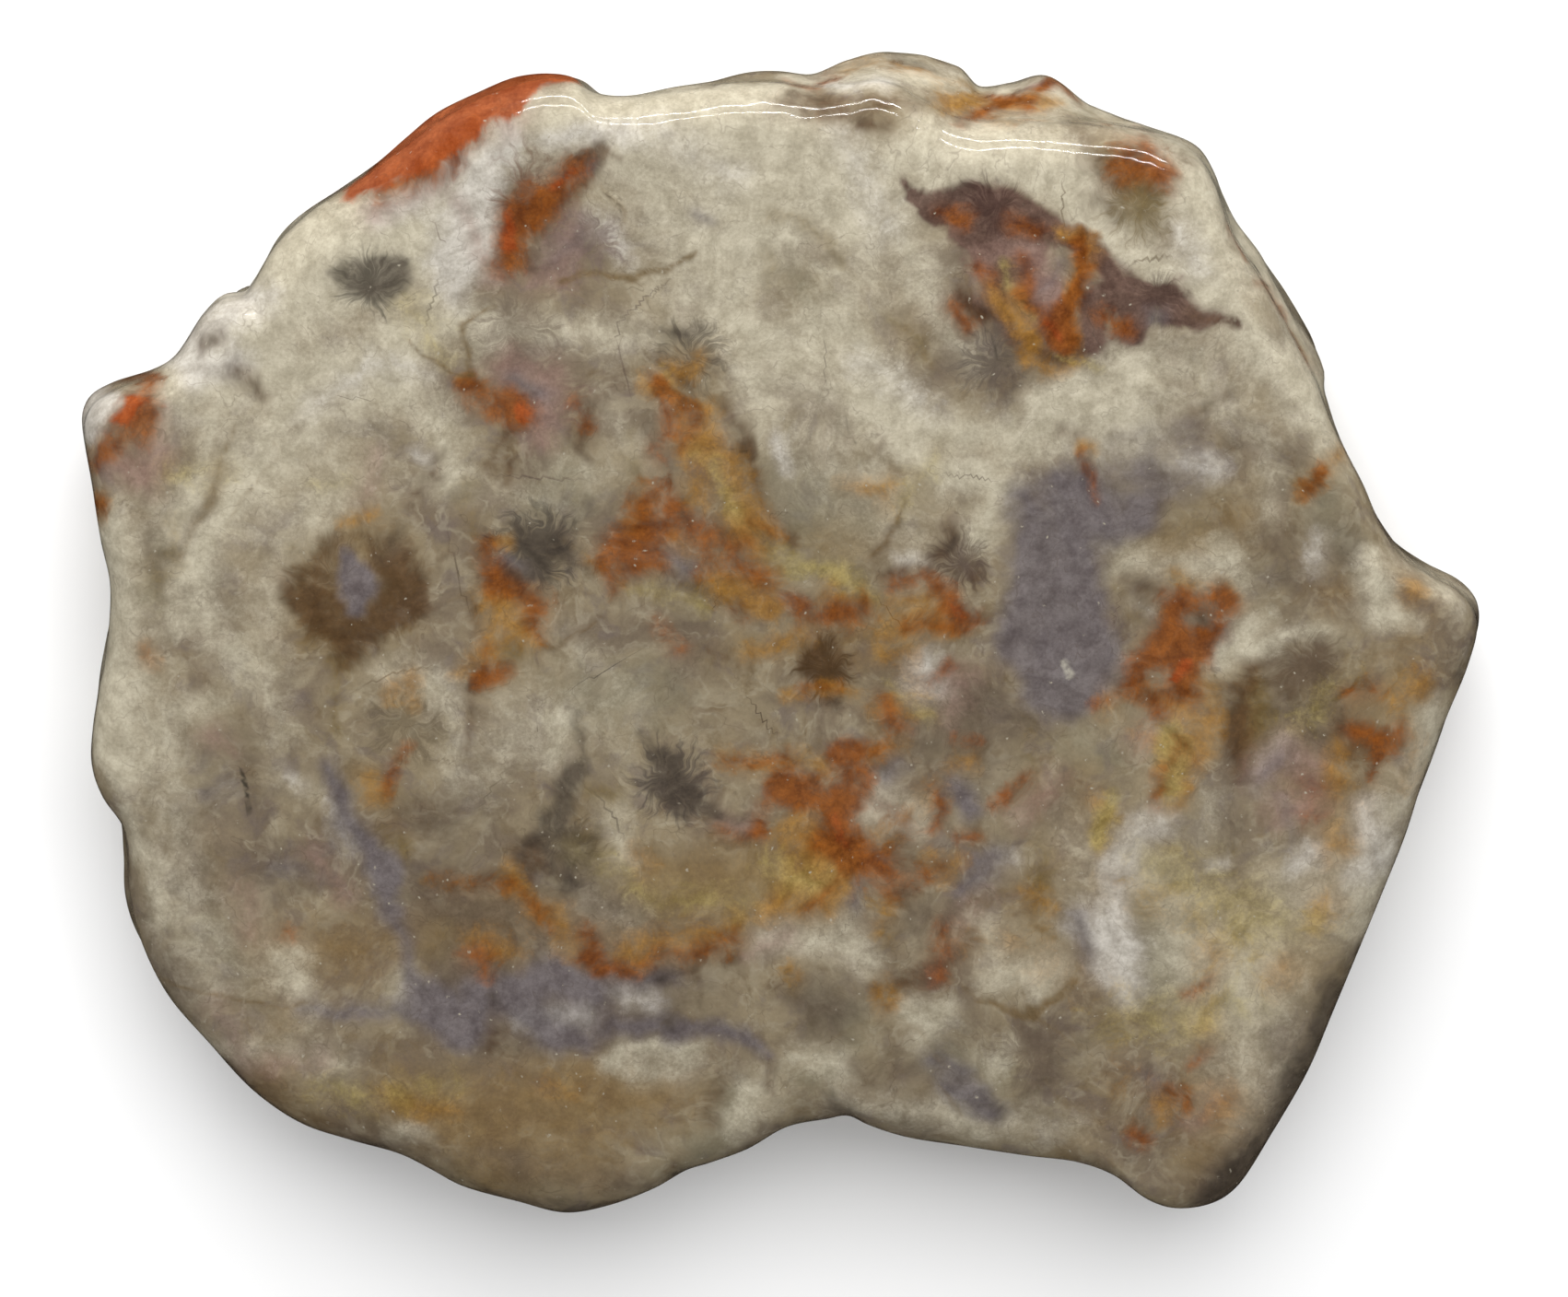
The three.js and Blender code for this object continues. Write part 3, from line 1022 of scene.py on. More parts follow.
@dataclass
class Studio:
    """The pale floor, the soft lights and the camera at the photograph's angle."""

    view: View = View()
    distance: float = 600.0
    # The photograph: its scale on the slice, its size, and the pixel that shows the outline's own middle
    mm_per_pixel: float = 0.075
    picture: tuple = (1702, 1408)
    middle_pixel: tuple = (849, 691)
    sensor: float = 36.0
    clip: tuple = (0.01, 10)
    floor_half: float = 1.5
    floor_tint: tuple = (0.92, 0.92, 0.92, 1)
    floor_roughness: float = 0.9
    daylight: float = 0.63
    # The polish shows the two thin strips alone
    lamps: tuple = (
        Lamp("key", (0.05, 0.5, 0.9), (0.9, 0.6), 7.3),
        Lamp("rim", (-0.25, 0.8, 0.25), (0.9, 0.35), 3.0),
        Lamp("strip_low", (0.02, 0.5, 0.09), (0.5, 0.003), 1.0, True),
        Lamp("strip_high", (0.02, 0.5, 0.3), (0.5, 0.003), 1.0, True),
    )

    def camera(self, shift: np.ndarray) -> None:
        """Places the camera square to the photograph's view.

        Args:
            shift: How far the slice was moved to centre it, in millimetres.
        """
        tilt = self.view.tilt
        u, v = (
            (self.picture[0] / 2 - self.middle_pixel[0]) * self.mm_per_pixel,
            (self.middle_pixel[1] - self.picture[1] / 2) * self.mm_per_pixel,
        )
        back = Vector((0, math.sin(tilt), math.cos(tilt)))
        up = Vector((0, math.cos(tilt), -math.sin(tilt)))
        target = Vector((u + shift[0], shift[1], self.view.depth)) + up * v
        data = bpy.data.cameras.new("camera")
        data.sensor_width = self.sensor
        data.lens = self.sensor * self.distance / (self.picture[0] * self.mm_per_pixel)
        data.clip_start, data.clip_end = self.clip
        camera = bpy.data.objects.new("camera", data)
        bpy.context.scene.collection.objects.link(camera)
        turn = Matrix((Vector((1, 0, 0)), up, back)).transposed()
        camera.matrix_world = Matrix.Translation((target + back * self.distance) * MM) @ turn.to_4x4()
        bpy.context.scene.camera = camera

    def floor(self) -> None:
        """Lays the floor, which the polish doesn't show."""
        mesh = bpy.data.meshes.new("floor")
        half = self.floor_half
        corners = [(-half, -half, 0), (half, -half, 0), (half, half, 0), (-half, half, 0)]
        mesh.from_pydata(corners, [], [(0, 1, 2, 3)])
        floor = bpy.data.objects.new("floor", mesh)
        bpy.context.scene.collection.objects.link(floor)
        paper = bpy.data.materials.new("floor_paper")
        paper.use_nodes = True
        shader = paper.node_tree.nodes["Principled BSDF"]
        shader.inputs["Base Color"].default_value = self.floor_tint
        shader.inputs["Roughness"].default_value = self.floor_roughness
        mesh.materials.append(paper)
        floor.visible_glossy = False

    def build(self, shift: np.ndarray) -> None:
        """Builds the floor, the world, the lights and the camera.

        Args:
            shift: How far the slice was moved to centre it, in millimetres.
        """
        self.floor()
        world = bpy.data.worlds.new("studio")
        world.use_nodes = True
        background = world.node_tree.nodes["Background"].inputs
        background["Color"].default_value = (1, 1, 1, 1)
        background["Strength"].default_value = self.daylight
        world.cycles_visibility.glossy = False
        bpy.context.scene.world = world
        for lamp in self.lamps:
            lamp.build()
        bpy.context.scene.view_settings.view_transform = "Standard"
        self.camera(shift)


# The bursts of radial hairs: where each lies and how far it reaches, in millimetres, its tint and how full
# it is.
BURSTS = (
    # The brown halo, the star and the feather
    (-34.2, 3.4, 7.6, "6b543a", 0.5), (-9, -11.8, 5.6, "4d4648", 0.65), (-17.6, -16.8, 4.4, "5d5348", 0.45),
    # The plume on the upper left and what hangs below it
    (-19.8, 35.4, 5.6, "7d5a4c", 0.55), (-15.6, 31.8, 5, "8d7c7c", 0.6), (-21.5, 24.8, 6, "84776d", 0.5),
    (-19.5, 18.6, 6, "86706a", 0.5), (-20.2, 7, 6, "4f4a48", 0.7), (-33, 28.4, 4.5, "5c5b53", 0.6),
    # The middle and the right
    (3.4, -2.6, 4, "5f4a33", 0.8), (-30.5, -7.5, 5, "6f6352", 0.5), (-7.4, 22.5, 4.5, "57504a", 0.6),
    (16.8, 22.5, 5.5, "6b625f", 0.6), (42.5, -2.6, 5, "6b5847", 0.5), (20.5, -33.5, 5.5, "7b6d63", 0.5),
    (14.5, 5.8, 4, "5b4a42", 0.6), (28.6, 34.5, 4.6, "80704f", 0.6), (17, 34.3, 4.2, "4f3a38", 0.6),
    (30, 27, 3.6, "574440", 0.5),
)

# The markings, by pigment, with painted shade along the lower edges and a painted highlight along the upper
# rim among them. Each stroke gives half the width of its soft edge, how full it is, and then the places along
# it as x, y and half width, in millimetres in the plane that the photograph's view looks on.
STROKES = {
    Pigment.SAGE: (
        # Upper left and the middle of the top
        (2.5, 0.8, -38, 31, 2, -31, 31.5, 2), (2, 0.6, -48, 10, 2, -50, 5, 2.5, -52, 3, 2),
        (2, 0.6, -1, 31, 2, 3, 26, 2), (2.5, 0.6, 0, 12, 4, 5, 9, 5),
        # Lower middle and lower right
        (2, 0.7, 3, -29.5, 2, 5, -31, 2.5), (2.5, 0.8, 29, -20, 2, 32, -23, 4, 31, -28, 3),
        (2, 0.6, 24, -8.5, 2, 27, -10, 1.5), (2.5, 0.5, -47, -24, 3, -45, -27, 2),
        (2, 0.7, -4, -38, 2.5, -5, -41, 2, -9, -43.5, 1.5), (2, 0.6, 2, -36.5, 2, 5, -35.5, 2),
        (2.5, 0.6, -26, -44.5, 2, -18, -45.5, 1.8), (2.5, 0.5, 28, 7, 2.5, 34, 9, 3, 39, 5, 2),
        (2, 0.6, 13, -34, 2.5, 18, -36.5, 1.5), (2, 0.6, 46, 7, 2.5, 43, 12, 2),
        (2, 0.6, -17, 12, 3, -20, 10.5, 2), (2.5, 0.6, -16, -4.5, 3, -10, -4.5, 3),
    ),
    Pigment.TAN: (
        # Lower left half
        (3, 0.9, -31, -38, 3, -24, -39.5, 4, -16, -38, 4, -10, -36, 3.5),
        (3, 0.8, -40, -26, 3, -35, -25.5, 3), (2.5, 0.6, -41, -32, 2, -43, -37, 2),
        (2.5, 0.8, -28, -24, 3, -24, -22.5, 2.5), (3, 0.8, -10, -20.5, 3.5, -3, -20, 4, 2, -19, 4),
        (2.5, 0.6, -47, -17, 2, -46, -21, 1.5), (2, 0.6, -33, -12, 2, -31.5, -15, 1.6),
        (2.5, 0.7, -24, -44.5, 2, -16, -44.5, 2), (2, 0.7, -42.5, -37.5, 1.4, -38, -40, 1.4),
        # Middle
        (2.5, 0.7, -4, 12, 2, -3.5, 8, 3), (2.5, 0.6, -22, 2, 2.5, -23, -3, 2),
        (2, 0.6, 4, 7.5, 2.5, 9, 7, 2.5), (2, 0.5, -4, -1, 2, 0, -1, 2, 8, -1.5, 2),
        (2.5, 0.6, 9, 1, 2, 5, 0, 2), (2, 0.6, 20, 1, 1, 18, -2.5, 1.2),
        # Right half
        (3, 0.7, 31, 7, 3, 37, 9, 3), (3, 0.8, 38, -23.5, 4, 42, -27, 3),
        (2.5, 0.8, 40, -10.5, 2, 44.5, -12, 2.5, 45, -16.5, 1.6), (2.5, 0.7, 34, -31, 3, 37, -33, 3),
        (3, 0.6, 24, -13, 2.5, 26, -16, 2), (2.5, 0.7, 52, 3.5, 2, 50.5, 4.5, 1.5, 50, 1, 1),
        (2.5, 0.7, 36, -38, 3, 34, -43.5, 2), (2, 0.6, 24, -41.5, 1.5, 27, -38, 1.2),
        (2.5, 0.7, 46, 3.5, 1.4, 44.5, 3, 1.2), (3, 0.7, 51, -3, 2, 48, -5, 2.5, 45, -8, 2),
        (2, 0.7, 20, -22, 2, 22, -18, 1.4), (2, 0.6, 9, 24, 1.5, 10.5, 26, 1), (2, 0.6, -34, 5, 5, -38, 3, 4),
    ),
    Pigment.CREAM: (
        (3, 0.3, -16, -22, 2.5, -12, -23, 2), (2.5, 0.4, -44, 22, 2, -41, 25, 2),
        # Diagonal streaks on the left
        (0.9, 0.9, -40, 18, 0.3, -42.5, 13.5, 0.5, -46, 8.5, 0.5, -49.5, 3.8, 0.4),
        (0.8, 0.8, -45.5, 17.5, 0.2, -47.2, 12.5, 0.4, -50, 7.5, 0.3),
        # Round the red rim and the plume
        (2, 0.9, -25.5, 34, 1.5, -24, 38.5, 2, -20, 41.8, 1.5, -16, 41.5, 1.5),
        (2, 0.8, -36, 28, 1.5, -31, 31.5, 1.5), (2.5, 0.7, 14, 39, 1.2, 20, 38.8, 1, 24, 36.5, 1),
        (2, 0.6, -40, 3.5, 1.5, -36, 12, 1.5), (2, 0.8, -2.6, 22, 1, -1.8, 18, 1),
        (2.5, 0.7, 11, 27.5, 0.8, 15, 22.5, 1), (2.5, 0.5, -32, 13, 1, -24, 11.5, 0.8, -18.5, 11, 0.8),
        (2.2, 0.7, 35.5, 19, 0.8, 39, 15, 0.8, 39.5, 10, 0.6), (2.5, 0.6, -42, 3, 1, -41, -8, 1),
        (2.5, 0.5, -17, 0, 1, -12, -5, 1.2), (2.5, 0.6, -42, -33.5, 1, -36, -35, 1),
        (2.2, 0.8, 13, 38.6, 0.8, 17.5, 39, 1, 22, 38, 0.7), (2, 0.7, 30, 29.3, 0.8, 33, 28.5, 0.8),
        (2.5, 0.7, 20, 15, 1, 26, 15.5, 1.5, 31, 14, 1), (2, 0.6, 37, 2, 1, 36.5, 7, 1),
        (2, 0.7, -32, -3, 1, -28, -3.5, 1), (2, 0.6, 35, -13, 0.8, 34.5, -16, 0.8),
        # The upper rim and the rim of the right lobe: painted highlight, the pale gloss where the polish
        # catches the light from above. The last stroke is on the right edge.
        (1.2, 0.8, 10.5, 42.2, 0.6, 12.5, 39.8, 0.7),
        (1.6, 1, 3, 45.5, 1.2, 9, 46, 1.6, 14, 45, 1.4, 20, 44, 1.5, 26, 42.3, 1.5, 32, 40, 1.5, 36, 36, 1.5,
         39, 31, 1.5, 42.5, 26, 1.5, 44, 22, 1), (1.8, 0.9, -16, 43.5, 1, -8, 43.5, 1, 1, 44, 1),
        (1.6, 0.8, 52, -9, 0.8, 50, -14, 1),
        # Wide pale washes
        (1.8, 1, -25.5, 39.5, 1.2, -26.5, 35, 1.4, -28, 31, 1.5),
        (2, 0.8, -27, 25, 1, -19, 24.5, 1.2, -12, 24, 1.2), (2, 0.8, 26, 18, 1.2, 30, 17.5, 1.2),
        (1.6, 0.8, 18, 38, 0.8, 22, 36.5, 1, 26, 32, 0.8, 30, 29.5, 1), (2, 0.7, -40, -27, 2, -39, -30, 1),
        (2, 0.7, -49, 11, 1, -47, 2, 1.5, -44, -3, 1.5), (2, 0.6, 5, -37.5, 1, 11, -39, 1.5, 24, -40.5, 1),
        (2, 0.8, 49, -18, 1, 47.5, -23, 1), (2, 0.6, -27, -6, 1.2, -26, -12, 1),
        (4, 0.8, -26, 41, 2.5, -34, 33, 4, -41, 25, 4, -48, 19, 3),
        (4, 0.8, -17, 40, 2, -12, 38, 3, -9, 33, 3, -8, 27, 2),
        (4, 0.7, -28, 27, 3, -31, 22, 3, -39, 16, 4, -43, 10, 3),
        (3, 0.8, -54, 9, 2, -54, 0, 2.5, -53, -9, 2), (4, 0.5, -50, -8, 3, -49, -20, 3, -47, -28, 3),
        (4, 0.5, 3, 16, 4, 8, 12, 4, 10, 7, 3), (3, 0.6, 28, 22, 3, 33, 21.5, 3),
        (4, 0.6, 41, -22, 4, 37, -30, 5, 38, -37, 3), (3, 0.6, 48, -16, 2, 46, -22, 2),
        (3, 0.4, 24, -17, 3, 27, -21, 3), (3, 0.6, 11, 30, 2.5, 9, 35, 2.5, 19, 38, 2),
        (3, 0.3, -20, -5, 3, -14, -9, 3),
        # Band below the top edge, and down the middle
        (2.5, 0.9, -15, 40.5, 2, -8, 41.5, 2.5, -1, 39.5, 3, 5, 38, 2.5),
        (3, 0.8, -6, 37, 3, 1, 34.5, 4, 6, 33, 3), (2.5, 0.8, -3, 31, 3, -4, 26, 2.5, 1, 22.5, 2.5),
        (2.5, 0.8, 5, 26, 2.5, 8, 20, 2, 6, 22, 2), (2, 0.6, -27, 32, 2.5, -26, 36, 2),
        (2, 0.9, 10, 38.5, 1.6, 15, 39, 1.2, 22, 37.5, 1.6, 26, 34, 1.6),
        # Upper left
        (2, 0.9, -42, 28, 1.6, -38, 33, 1.8), (2, 0.8, -50, 22.5, 1.5, -45, 22.5, 2.2, -40, 27.5, 2),
        (1.2, 0.9, -41.5, 21.5, 0.7, -38, 21, 1, -34.5, 22, 0.9), (1.5, 0.8, -31, 24, 1.5, -31, 20, 1.5),
        (1.5, 0.7, -26.5, 13, 1.5, -28, 17.5, 1.5, -26, 15.5, 1.2), (1, 0.8, -40, 19, 0.6, -38, 18.5, 0.5),
        (1.5, 0.5, -43.5, 15, 1, -44.5, 11, 0.8, -47, 5.5, 0.9),
        # Left edge
        (1.2, 0.9, -55, 9, 0.8, -54.8, 2, 0.9, -55, -4, 1.1, -55.3, -8, 1.3, -53.5, -11, 0.8),
        (1, 0.8, -53.2, -13.8, 0.4, -52.6, -17, 0.5, -51, -19.5, 0.5, -50.8, -23, 0.5),
        (1.4, 0.7, -49.5, 0.8, 0.6, -48, 2.2, 0.5), (1.2, 0.7, -48.5, -5.8, 0.7, -45.8, -5.6, 0.6),
        # The pale band that winds below the big dark patch
        (1.8, 0.9, 6.5, 19, 1.4, 9.5, 17.5, 1.6, 14, 16.3, 1.5, 19, 16.2, 1.3, 24, 18.7, 1.5, 28, 20.5, 1.2),
        (1.5, 0.8, 14, 12.8, 1.4, 17.5, 11.5, 1.6, 16, 8, 1.4), (1.5, 0.8, 20, 19, 1, 23.5, 20.2, 0.8),
        (1, 0.7, 10, 14.8, 0.8, 13.5, 13, 0.6, 17.5, 13.4, 0.6),
        # Upper right and the right edge
        (2.5, 0.9, 28, 33, 1.5, 33, 35.5, 2.5, 34, 30, 2.5), (2, 0.9, 35, 28, 2, 38, 24, 1.8, 41.5, 20, 2),
        (2, 0.8, 43, 18.5, 2, 45, 15, 1.4), (2, 0.8, 51, 6.3, 1, 54, 4, 1.1, 55, 2.5, 0.8),
        (1.2, 0.9, 35.5, -1.6, 0.9, 38.3, -0.7, 0.9, 41, -0.1, 0.5, 44.2, 0.5, 0.3),
        (1, 0.7, 37.3, 0.6, 0.5, 39.3, 1.7, 0.4), (1.5, 0.8, 48.5, 1.5, 1, 47.5, 5, 1.2),
        (1, 0.8, 47.5, 7, 0.4, 49, 3, 0.4, 50, 1.5, 0.4, 51.5, 1, 0.3),
        (1.5, 0.9, 53, -6.5, 1, 52.2, -9, 0.9), (2, 0.7, 28, 6, 1.5, 31, 5.5, 1.5, 35, 6, 1.4),
        # Lower right
        (2.5, 0.6, 30, -19.5, 2, 33, -22.5, 2.5, 33, -27, 2), (2.5, 0.6, 38, -28.5, 2, 37, -25, 1.5),
        (1.8, 0.8, 16.5, -23.5, 0.8, 17.5, -27.5, 1.4, 22, -27, 1.2, 21, -29.5, 1.2),
        (1.5, 0.8, 10.5, -30.5, 1.2, 13.5, -30.8, 1, 11, -33, 0.8),
        (1.5, 0.7, 17, -35.3, 1, 18.5, -33.8, 0.7),
        (2, 0.8, -1, -24.5, 1.2, 4, -25, 1.4, 7, -26.5, 1, 5, -23.6, 0.8),
        (1.5, 0.6, 14, -37, 1, 16, -40.5, 1),
        (1.5, 0.9, 7, -14, 1, 9, -15, 1.5, 10.5, -15, 1.2, 8, -12.6, 0.8),
        (1.5, 0.6, -18, -7, 1.2, -19, -9.5, 1.2), (1.5, 0.6, -13.8, -15, 1.4, -12.8, -18, 1),
        (1.5, 0.5, -22, -7, 1.5, -23, -11, 1.2), (2, 0.8, -2, -37.5, 1.8, -3.5, -39.5, 1.5),
        (1.5, 0.7, 1.5, -34.5, 1, 5, -35, 1), (1.2, 0.8, -14, -35, 0.6, -12.5, -33.6, 0.6, -7, -33.3, 0.6),
        (1.5, 0.6, -12, -35.8, 1.2, -8, -35, 1.2), (1.5, 0.8, -30.8, -28, 0.7, -31, -30, 0.6),
        (1.2, 0.8, -29, -41.2, 0.3, -32, -40.5, 0.4), (1.5, 0.5, -41, -11.8, 1, -38, -12.4, 0.8),
        (1.2, 0.6, -47.5, -33.5, 1, -44, -34, 1), (1.5, 0.5, -12, 15, 1.5, -14.5, 18.5, 1),
        (1.5, 0.5, -17.5, 14.5, 1.2, -15, 13, 1.2),
    ),
    Pigment.SHADE: (
        (2.5, 0.3, 50, 4.5, 1.5, 50, 1.5, 1.5),
        # Darker clouds
        (2.5, 0.8, -11, -26.5, 1, -11, -34, 1), (2.5, 0.8, -20, -19, 0.6, -19, -23, 0.6),
        (2.5, 0.9, -48.5, 11, 0.8, -47.5, 7, 1.2, -45.5, 2, 0.8),
        (3, 0.5, -26, -27, 1.5, -14, -22, 1.5, -5, -29, 1.5), (2.5, 0.7, -49, 9, 0.8, -47.5, 5, 0.8),
        (2.2, 0.8, -27, 25, 0.8, -23, 24.5, 0.8),
        (2.2, 0.8, 18, 21, 0.8, 23, 21.5, 1, 28, 23, 1, 33, 22.5, 0.7),
        (2.2, 0.8, 37, 23.5, 0.8, 40, 23, 0.8), (3, 0.8, 10, -3, 1.2, 15, -4.5, 1.2),
        (2.5, 0.7, 38, -8, 1, 42, -10, 1), (2, 0.7, 48, 4, 0.8, 47.5, 1.5, 0.8),
        (2.5, 0.6, 15, -28, 1, 20, -28, 1), (2.5, 0.6, 37, -23, 0.8, 37.5, -28, 0.8, 36, -36, 1),
        (2.5, 0.8, -25, -29, 1, -23.5, -32.5, 1), (2.5, 0.9, 11, -38.5, 0.8, 17, -39.5, 1, 22, -40, 0.8),
        (3, 0.8, -1, -25, 1, 3, -24.5, 1), (2.5, 0.8, 11, -29, 0.8, 12.5, -32, 0.8),
        (3, 0.8, -13, -33.5, 1, -8, -34.5, 1.2),
        # This stroke and the next follow the lower right and lower left rims: painted shade, where those
        # edges turn away from the light
        (2.5, 0.9, 44, -29, 0.3, 41, -37, 0.8, 38, -42, 1.4, 35, -45.5, 1.4),
        (2.5, 0.7, -45, -34, 0.8, -40, -39, 0.8, -28, -43.5, 0.8),
        # Wide dim washes
        (2, 0.8, 27, 36.5, 1.5, 28, 34, 1.5), (2, 0.7, -20, 34, 2, -17, 31, 2.2),
        (2, 0.6, 41, 21, 1, 39, 23, 0.8), (2, 0.7, -28, -30, 2, -16, -31, 2.5, -9, -32, 1),
        (4, 0.5, -27, -20, 4, -24, -29, 5, -10, -28, 4),
        (3, 0.5, 12, -5, 3, 16, -10, 4, 8, -18, 3, 11, -24, 2), (3, 0.5, 40, -4, 3, 43, -8, 3),
        (3, 0.4, 26, -3, 2, 29, -5, 2),
        # Left half
        (1.6, 0.8, -48.5, 9, 0.8, -47.3, 14, 0.4), (1.6, 0.8, -51, 7.5, 1.2, -49.5, 4.5, 1),
        (1.2, 0.6, -44.5, 14.5, 0.5, -43.8, 17.8, 0.5),
        (1.6, 0.6, -46, 3, 0.8, -48.5, 1.5, 0.7, -50, 0.2, 0.6), (2, 0.6, -38, 12.5, 1.6, -35.5, 13, 1.4),
        (1.6, 0.7, -32.5, 16.8, 0.9, -31.2, 15.5, 0.8), (2, 0.7, -49, -8.5, 0.8, -46.5, -9, 1),
        (2, 0.7, -44, -8.2, 1, -43, -13, 1), (2.2, 0.7, -49, -14, 2, -48, -19, 2),
        (2, 0.7, -42, -18.5, 1.4, -38.5, -18.5, 1.2, -40.5, -20.5, 0.8),
        (2, 0.6, -34.5, -22.5, 0.7, -35.5, -20, 0.8),
        (1.8, 0.6, -53.8, -15.5, 0.5, -52.5, -22, 1, -50.5, -27, 1),
        (1.2, 0.7, -48.8, -21, 0.4, -46, -21.7, 0.4), (1.6, 0.8, -34, -39.2, 0.8, -32.5, -41, 1),
        (1.6, 0.8, -50.5, -28.7, 0.3, -47, -29.8, 0.3, -42, -30.1, 0.3),
        (1.4, 0.7, -41, -33.6, 0.4, -38, -33.4, 0.5, -34, -34.3, 0.3),
        (1.4, 0.6, -36.5, -36.5, 0.8, -35.8, -38, 0.5), (1.6, 0.9, -24, -42.3, 0.4, -21.5, -42.9, 0.6),
        (2, 0.8, -21, -44.5, 0.7, -13, -45, 1), (2.5, 0.8, -30, -21.5, 1, -27, -22.5, 1.5, -22, -22.5, 1.4),
        (2, 0.7, -31, -14, 1, -27.5, -14.5, 1.4),
        # Middle
        (1.6, 0.9, 0.5, 20.2, 0.6, 3, 19.5, 0.9, 4.5, 17.5, 0.6), (1.4, 0.7, -10.5, 33.5, 1, -7, 34, 0.9),
        (1.6, 0.7, -24.5, 25, 1, -21, 22.5, 1.6), (1.8, 0.8, 15.5, 22.5, 1.8, 18.5, 21, 1),
        (2, 0.6, 12, 20.5, 0.8, 14, 22.5, 0.8), (1.6, 0.8, -10.5, 17, 1.2, -9.5, 14, 0.8),
        (2, 0.8, -20, 8.3, 1, -17.5, 6.6, 1, -15.6, 5.5, 0.6), (1.6, 0.7, -15.5, 10, 0.5, -11, 12, 0.5),
        (1.6, 0.7, -8, 1, 0.8, -5.5, 0, 0.6), (2, 0.7, -23.5, -13.2, 0.9, -25.5, -12.8, 0.6),
        (2, 0.8, -16, -19.5, 1, -15, -21.5, 0.8, -13, -22, 0.6), (1.8, 0.8, 10, -8.7, 0.8, 13.5, -8.5, 1),
        (1.8, 0.8, 14, -5, 1.5, 18, -6.5, 1.5, 21, -7.2, 1), (1.6, 0.7, 10, -22.5, 0.8, 13.5, -23, 1.2),
        (2, 0.9, 1, -29.5, 1, 4, -30.5, 2, 4, -32.5, 1.2),
        (1.8, 0.8, 9.5, -34, 1, 8.5, -38, 1, 10.5, -40.5, 1),
        (1.5, 0.8, 20, -32.5, 1.2, 22.5, -33.5, 1.5, 21, -37, 1), (2, 0.6, 8.8, -11, 0.8, 8.5, -12, 0.4),
        # Right half
        (2, 0.8, 24, 22, 0.6, 28, 23.5, 0.6), (1.6, 0.8, 30, 34, 1.2, 28.5, 36, 1.4),
        (2.5, 0.8, 38.5, 15.5, 0.8, 40.5, 14.5, 1), (2.5, 0.8, 40, 8, 1, 42, 4.8, 1.2, 40.3, 5, 0.8),
        (2, 0.6, 45.5, 8.5, 0.8, 46, 6, 0.8), (2.2, 0.9, 40, -2, 1.2, 43, -2.5, 2, 41.5, -5, 1.4),
        (2.5, 0.8, 41, -8, 1, 44, -7, 1.5), (1.8, 0.8, 37, -10, 0.5, 37.2, -12, 0.3),
        (1.6, 0.9, 22, -13.8, 0.7, 23.2, -13, 0.6), (1.8, 0.7, 20.2, -15.3, 0.6, 18.8, -16.3, 0.7),
        (2, 0.7, 31.5, -16, 1, 34.5, -17, 1, 36, -15.5, 0.8), (1.6, 0.8, 35, -19.4, 0.5, 36.5, -19.8, 0.4),
        (2.2, 0.8, 40.5, -31.5, 1.2, 40, -34, 1.4, 41.5, -37, 1.4, 40, -40, 1.4),
        (1.6, 0.6, 37, -17.5, 0.7, 34, -12.6, 0.8), (2, 0.7, 25, -28, 1, 27, -30, 1, 26, -33.5, 1.2),
        (1.6, 0.6, 24, -26.3, 0.5, 22, -25.5, 0.4), (1.8, 0.7, 40, 1.4, 0.4, 41, 0.8, 0.5),
        (2, 0.6, 34, 17, 0.5, 36, 19.5, 0.6, 35.5, 14.5, 0.4),
    ),
    Pigment.WHITE: (
        # Bright patches on the upper left and along the top
        (1.8, 0.9, -48, 23.5, 1, -45, 25.5, 1.2, -41.5, 27.5, 0.8),
        (1.6, 0.7, -38, 18.5, 0.6, -33, 22, 0.6, -29, 21, 0.5), (2.2, 0.6, -10, 40.5, 1, -4, 37, 1),
        (2.2, 0.6, 5, 40, 0.8, 8.5, 33, 1), (2, 0.7, 31.5, 33, 0.8, 33.5, 29.5, 0.8),
        (2, 0.6, 6, 22, 0.8, 12, 18.5, 0.8), (1.6, 0.9, -26, 27.5, 0.8, -24.5, 31, 1, -23.8, 35, 1),
        (1.6, 1, -56, 17.3, 1, -54.8, 19, 0.6),
        (1.6, 1, -27, 30, 1.4, -25.2, 34, 1.6, -23.5, 37.5, 1.4, -21.5, 40, 0.9),
        (1.2, 0.9, -18.5, 40, 0.6, -15, 39.8, 0.7, -12.5, 40.3, 0.6),
        # Left and top
        (1.4, 0.9, -47, 21.5, 1.6, -44, 22, 1.2), (1.2, 0.8, -55.8, 17.3, 0.9, -53.8, 18.8, 0.5),
        (1.2, 0.8, -32.5, 33.8, 0.9, -29.5, 34.5, 0.9, -26.3, 38.5, 0.9),
        # The second stroke on the next line, on the upper rim, is a painted highlight
        (0.9, 0.8, -29.5, 15, 0.4, -28.5, 14.3, 0.4), (1, 0.7, 4, 44.8, 0.6, 8.3, 44.6, 0.8),
        (1.4, 0.7, -14.8, 33, 0.9, -12.5, 30.5, 0.6), (1, 0.6, -40, -11.5, 0.5, -39, -12.3, 0.4),
        (1.3, 0.6, -36.5, -14, 0.7, -35, -17, 0.6), (1, 0.9, 0.3, 13.5, 0.3, -0.5, 16, 0.3),
        (1, 0.7, 9.5, 6, 0.6, 11.5, 6, 0.4), (1.6, 0.9, 11.5, -2, 0.8, 12.5, -4.2, 0.9, 10.5, -4.3, 0.6),
        # The bluish white streak and its surroundings
        (1.2, 0.9, 22.7, -3.5, 0.5, 22.9, -2.2, 0.5),
        (1.8, 0.9, 31, -15.3, 0.8, 29, -15.8, 1, 27.5, -18.5, 1),
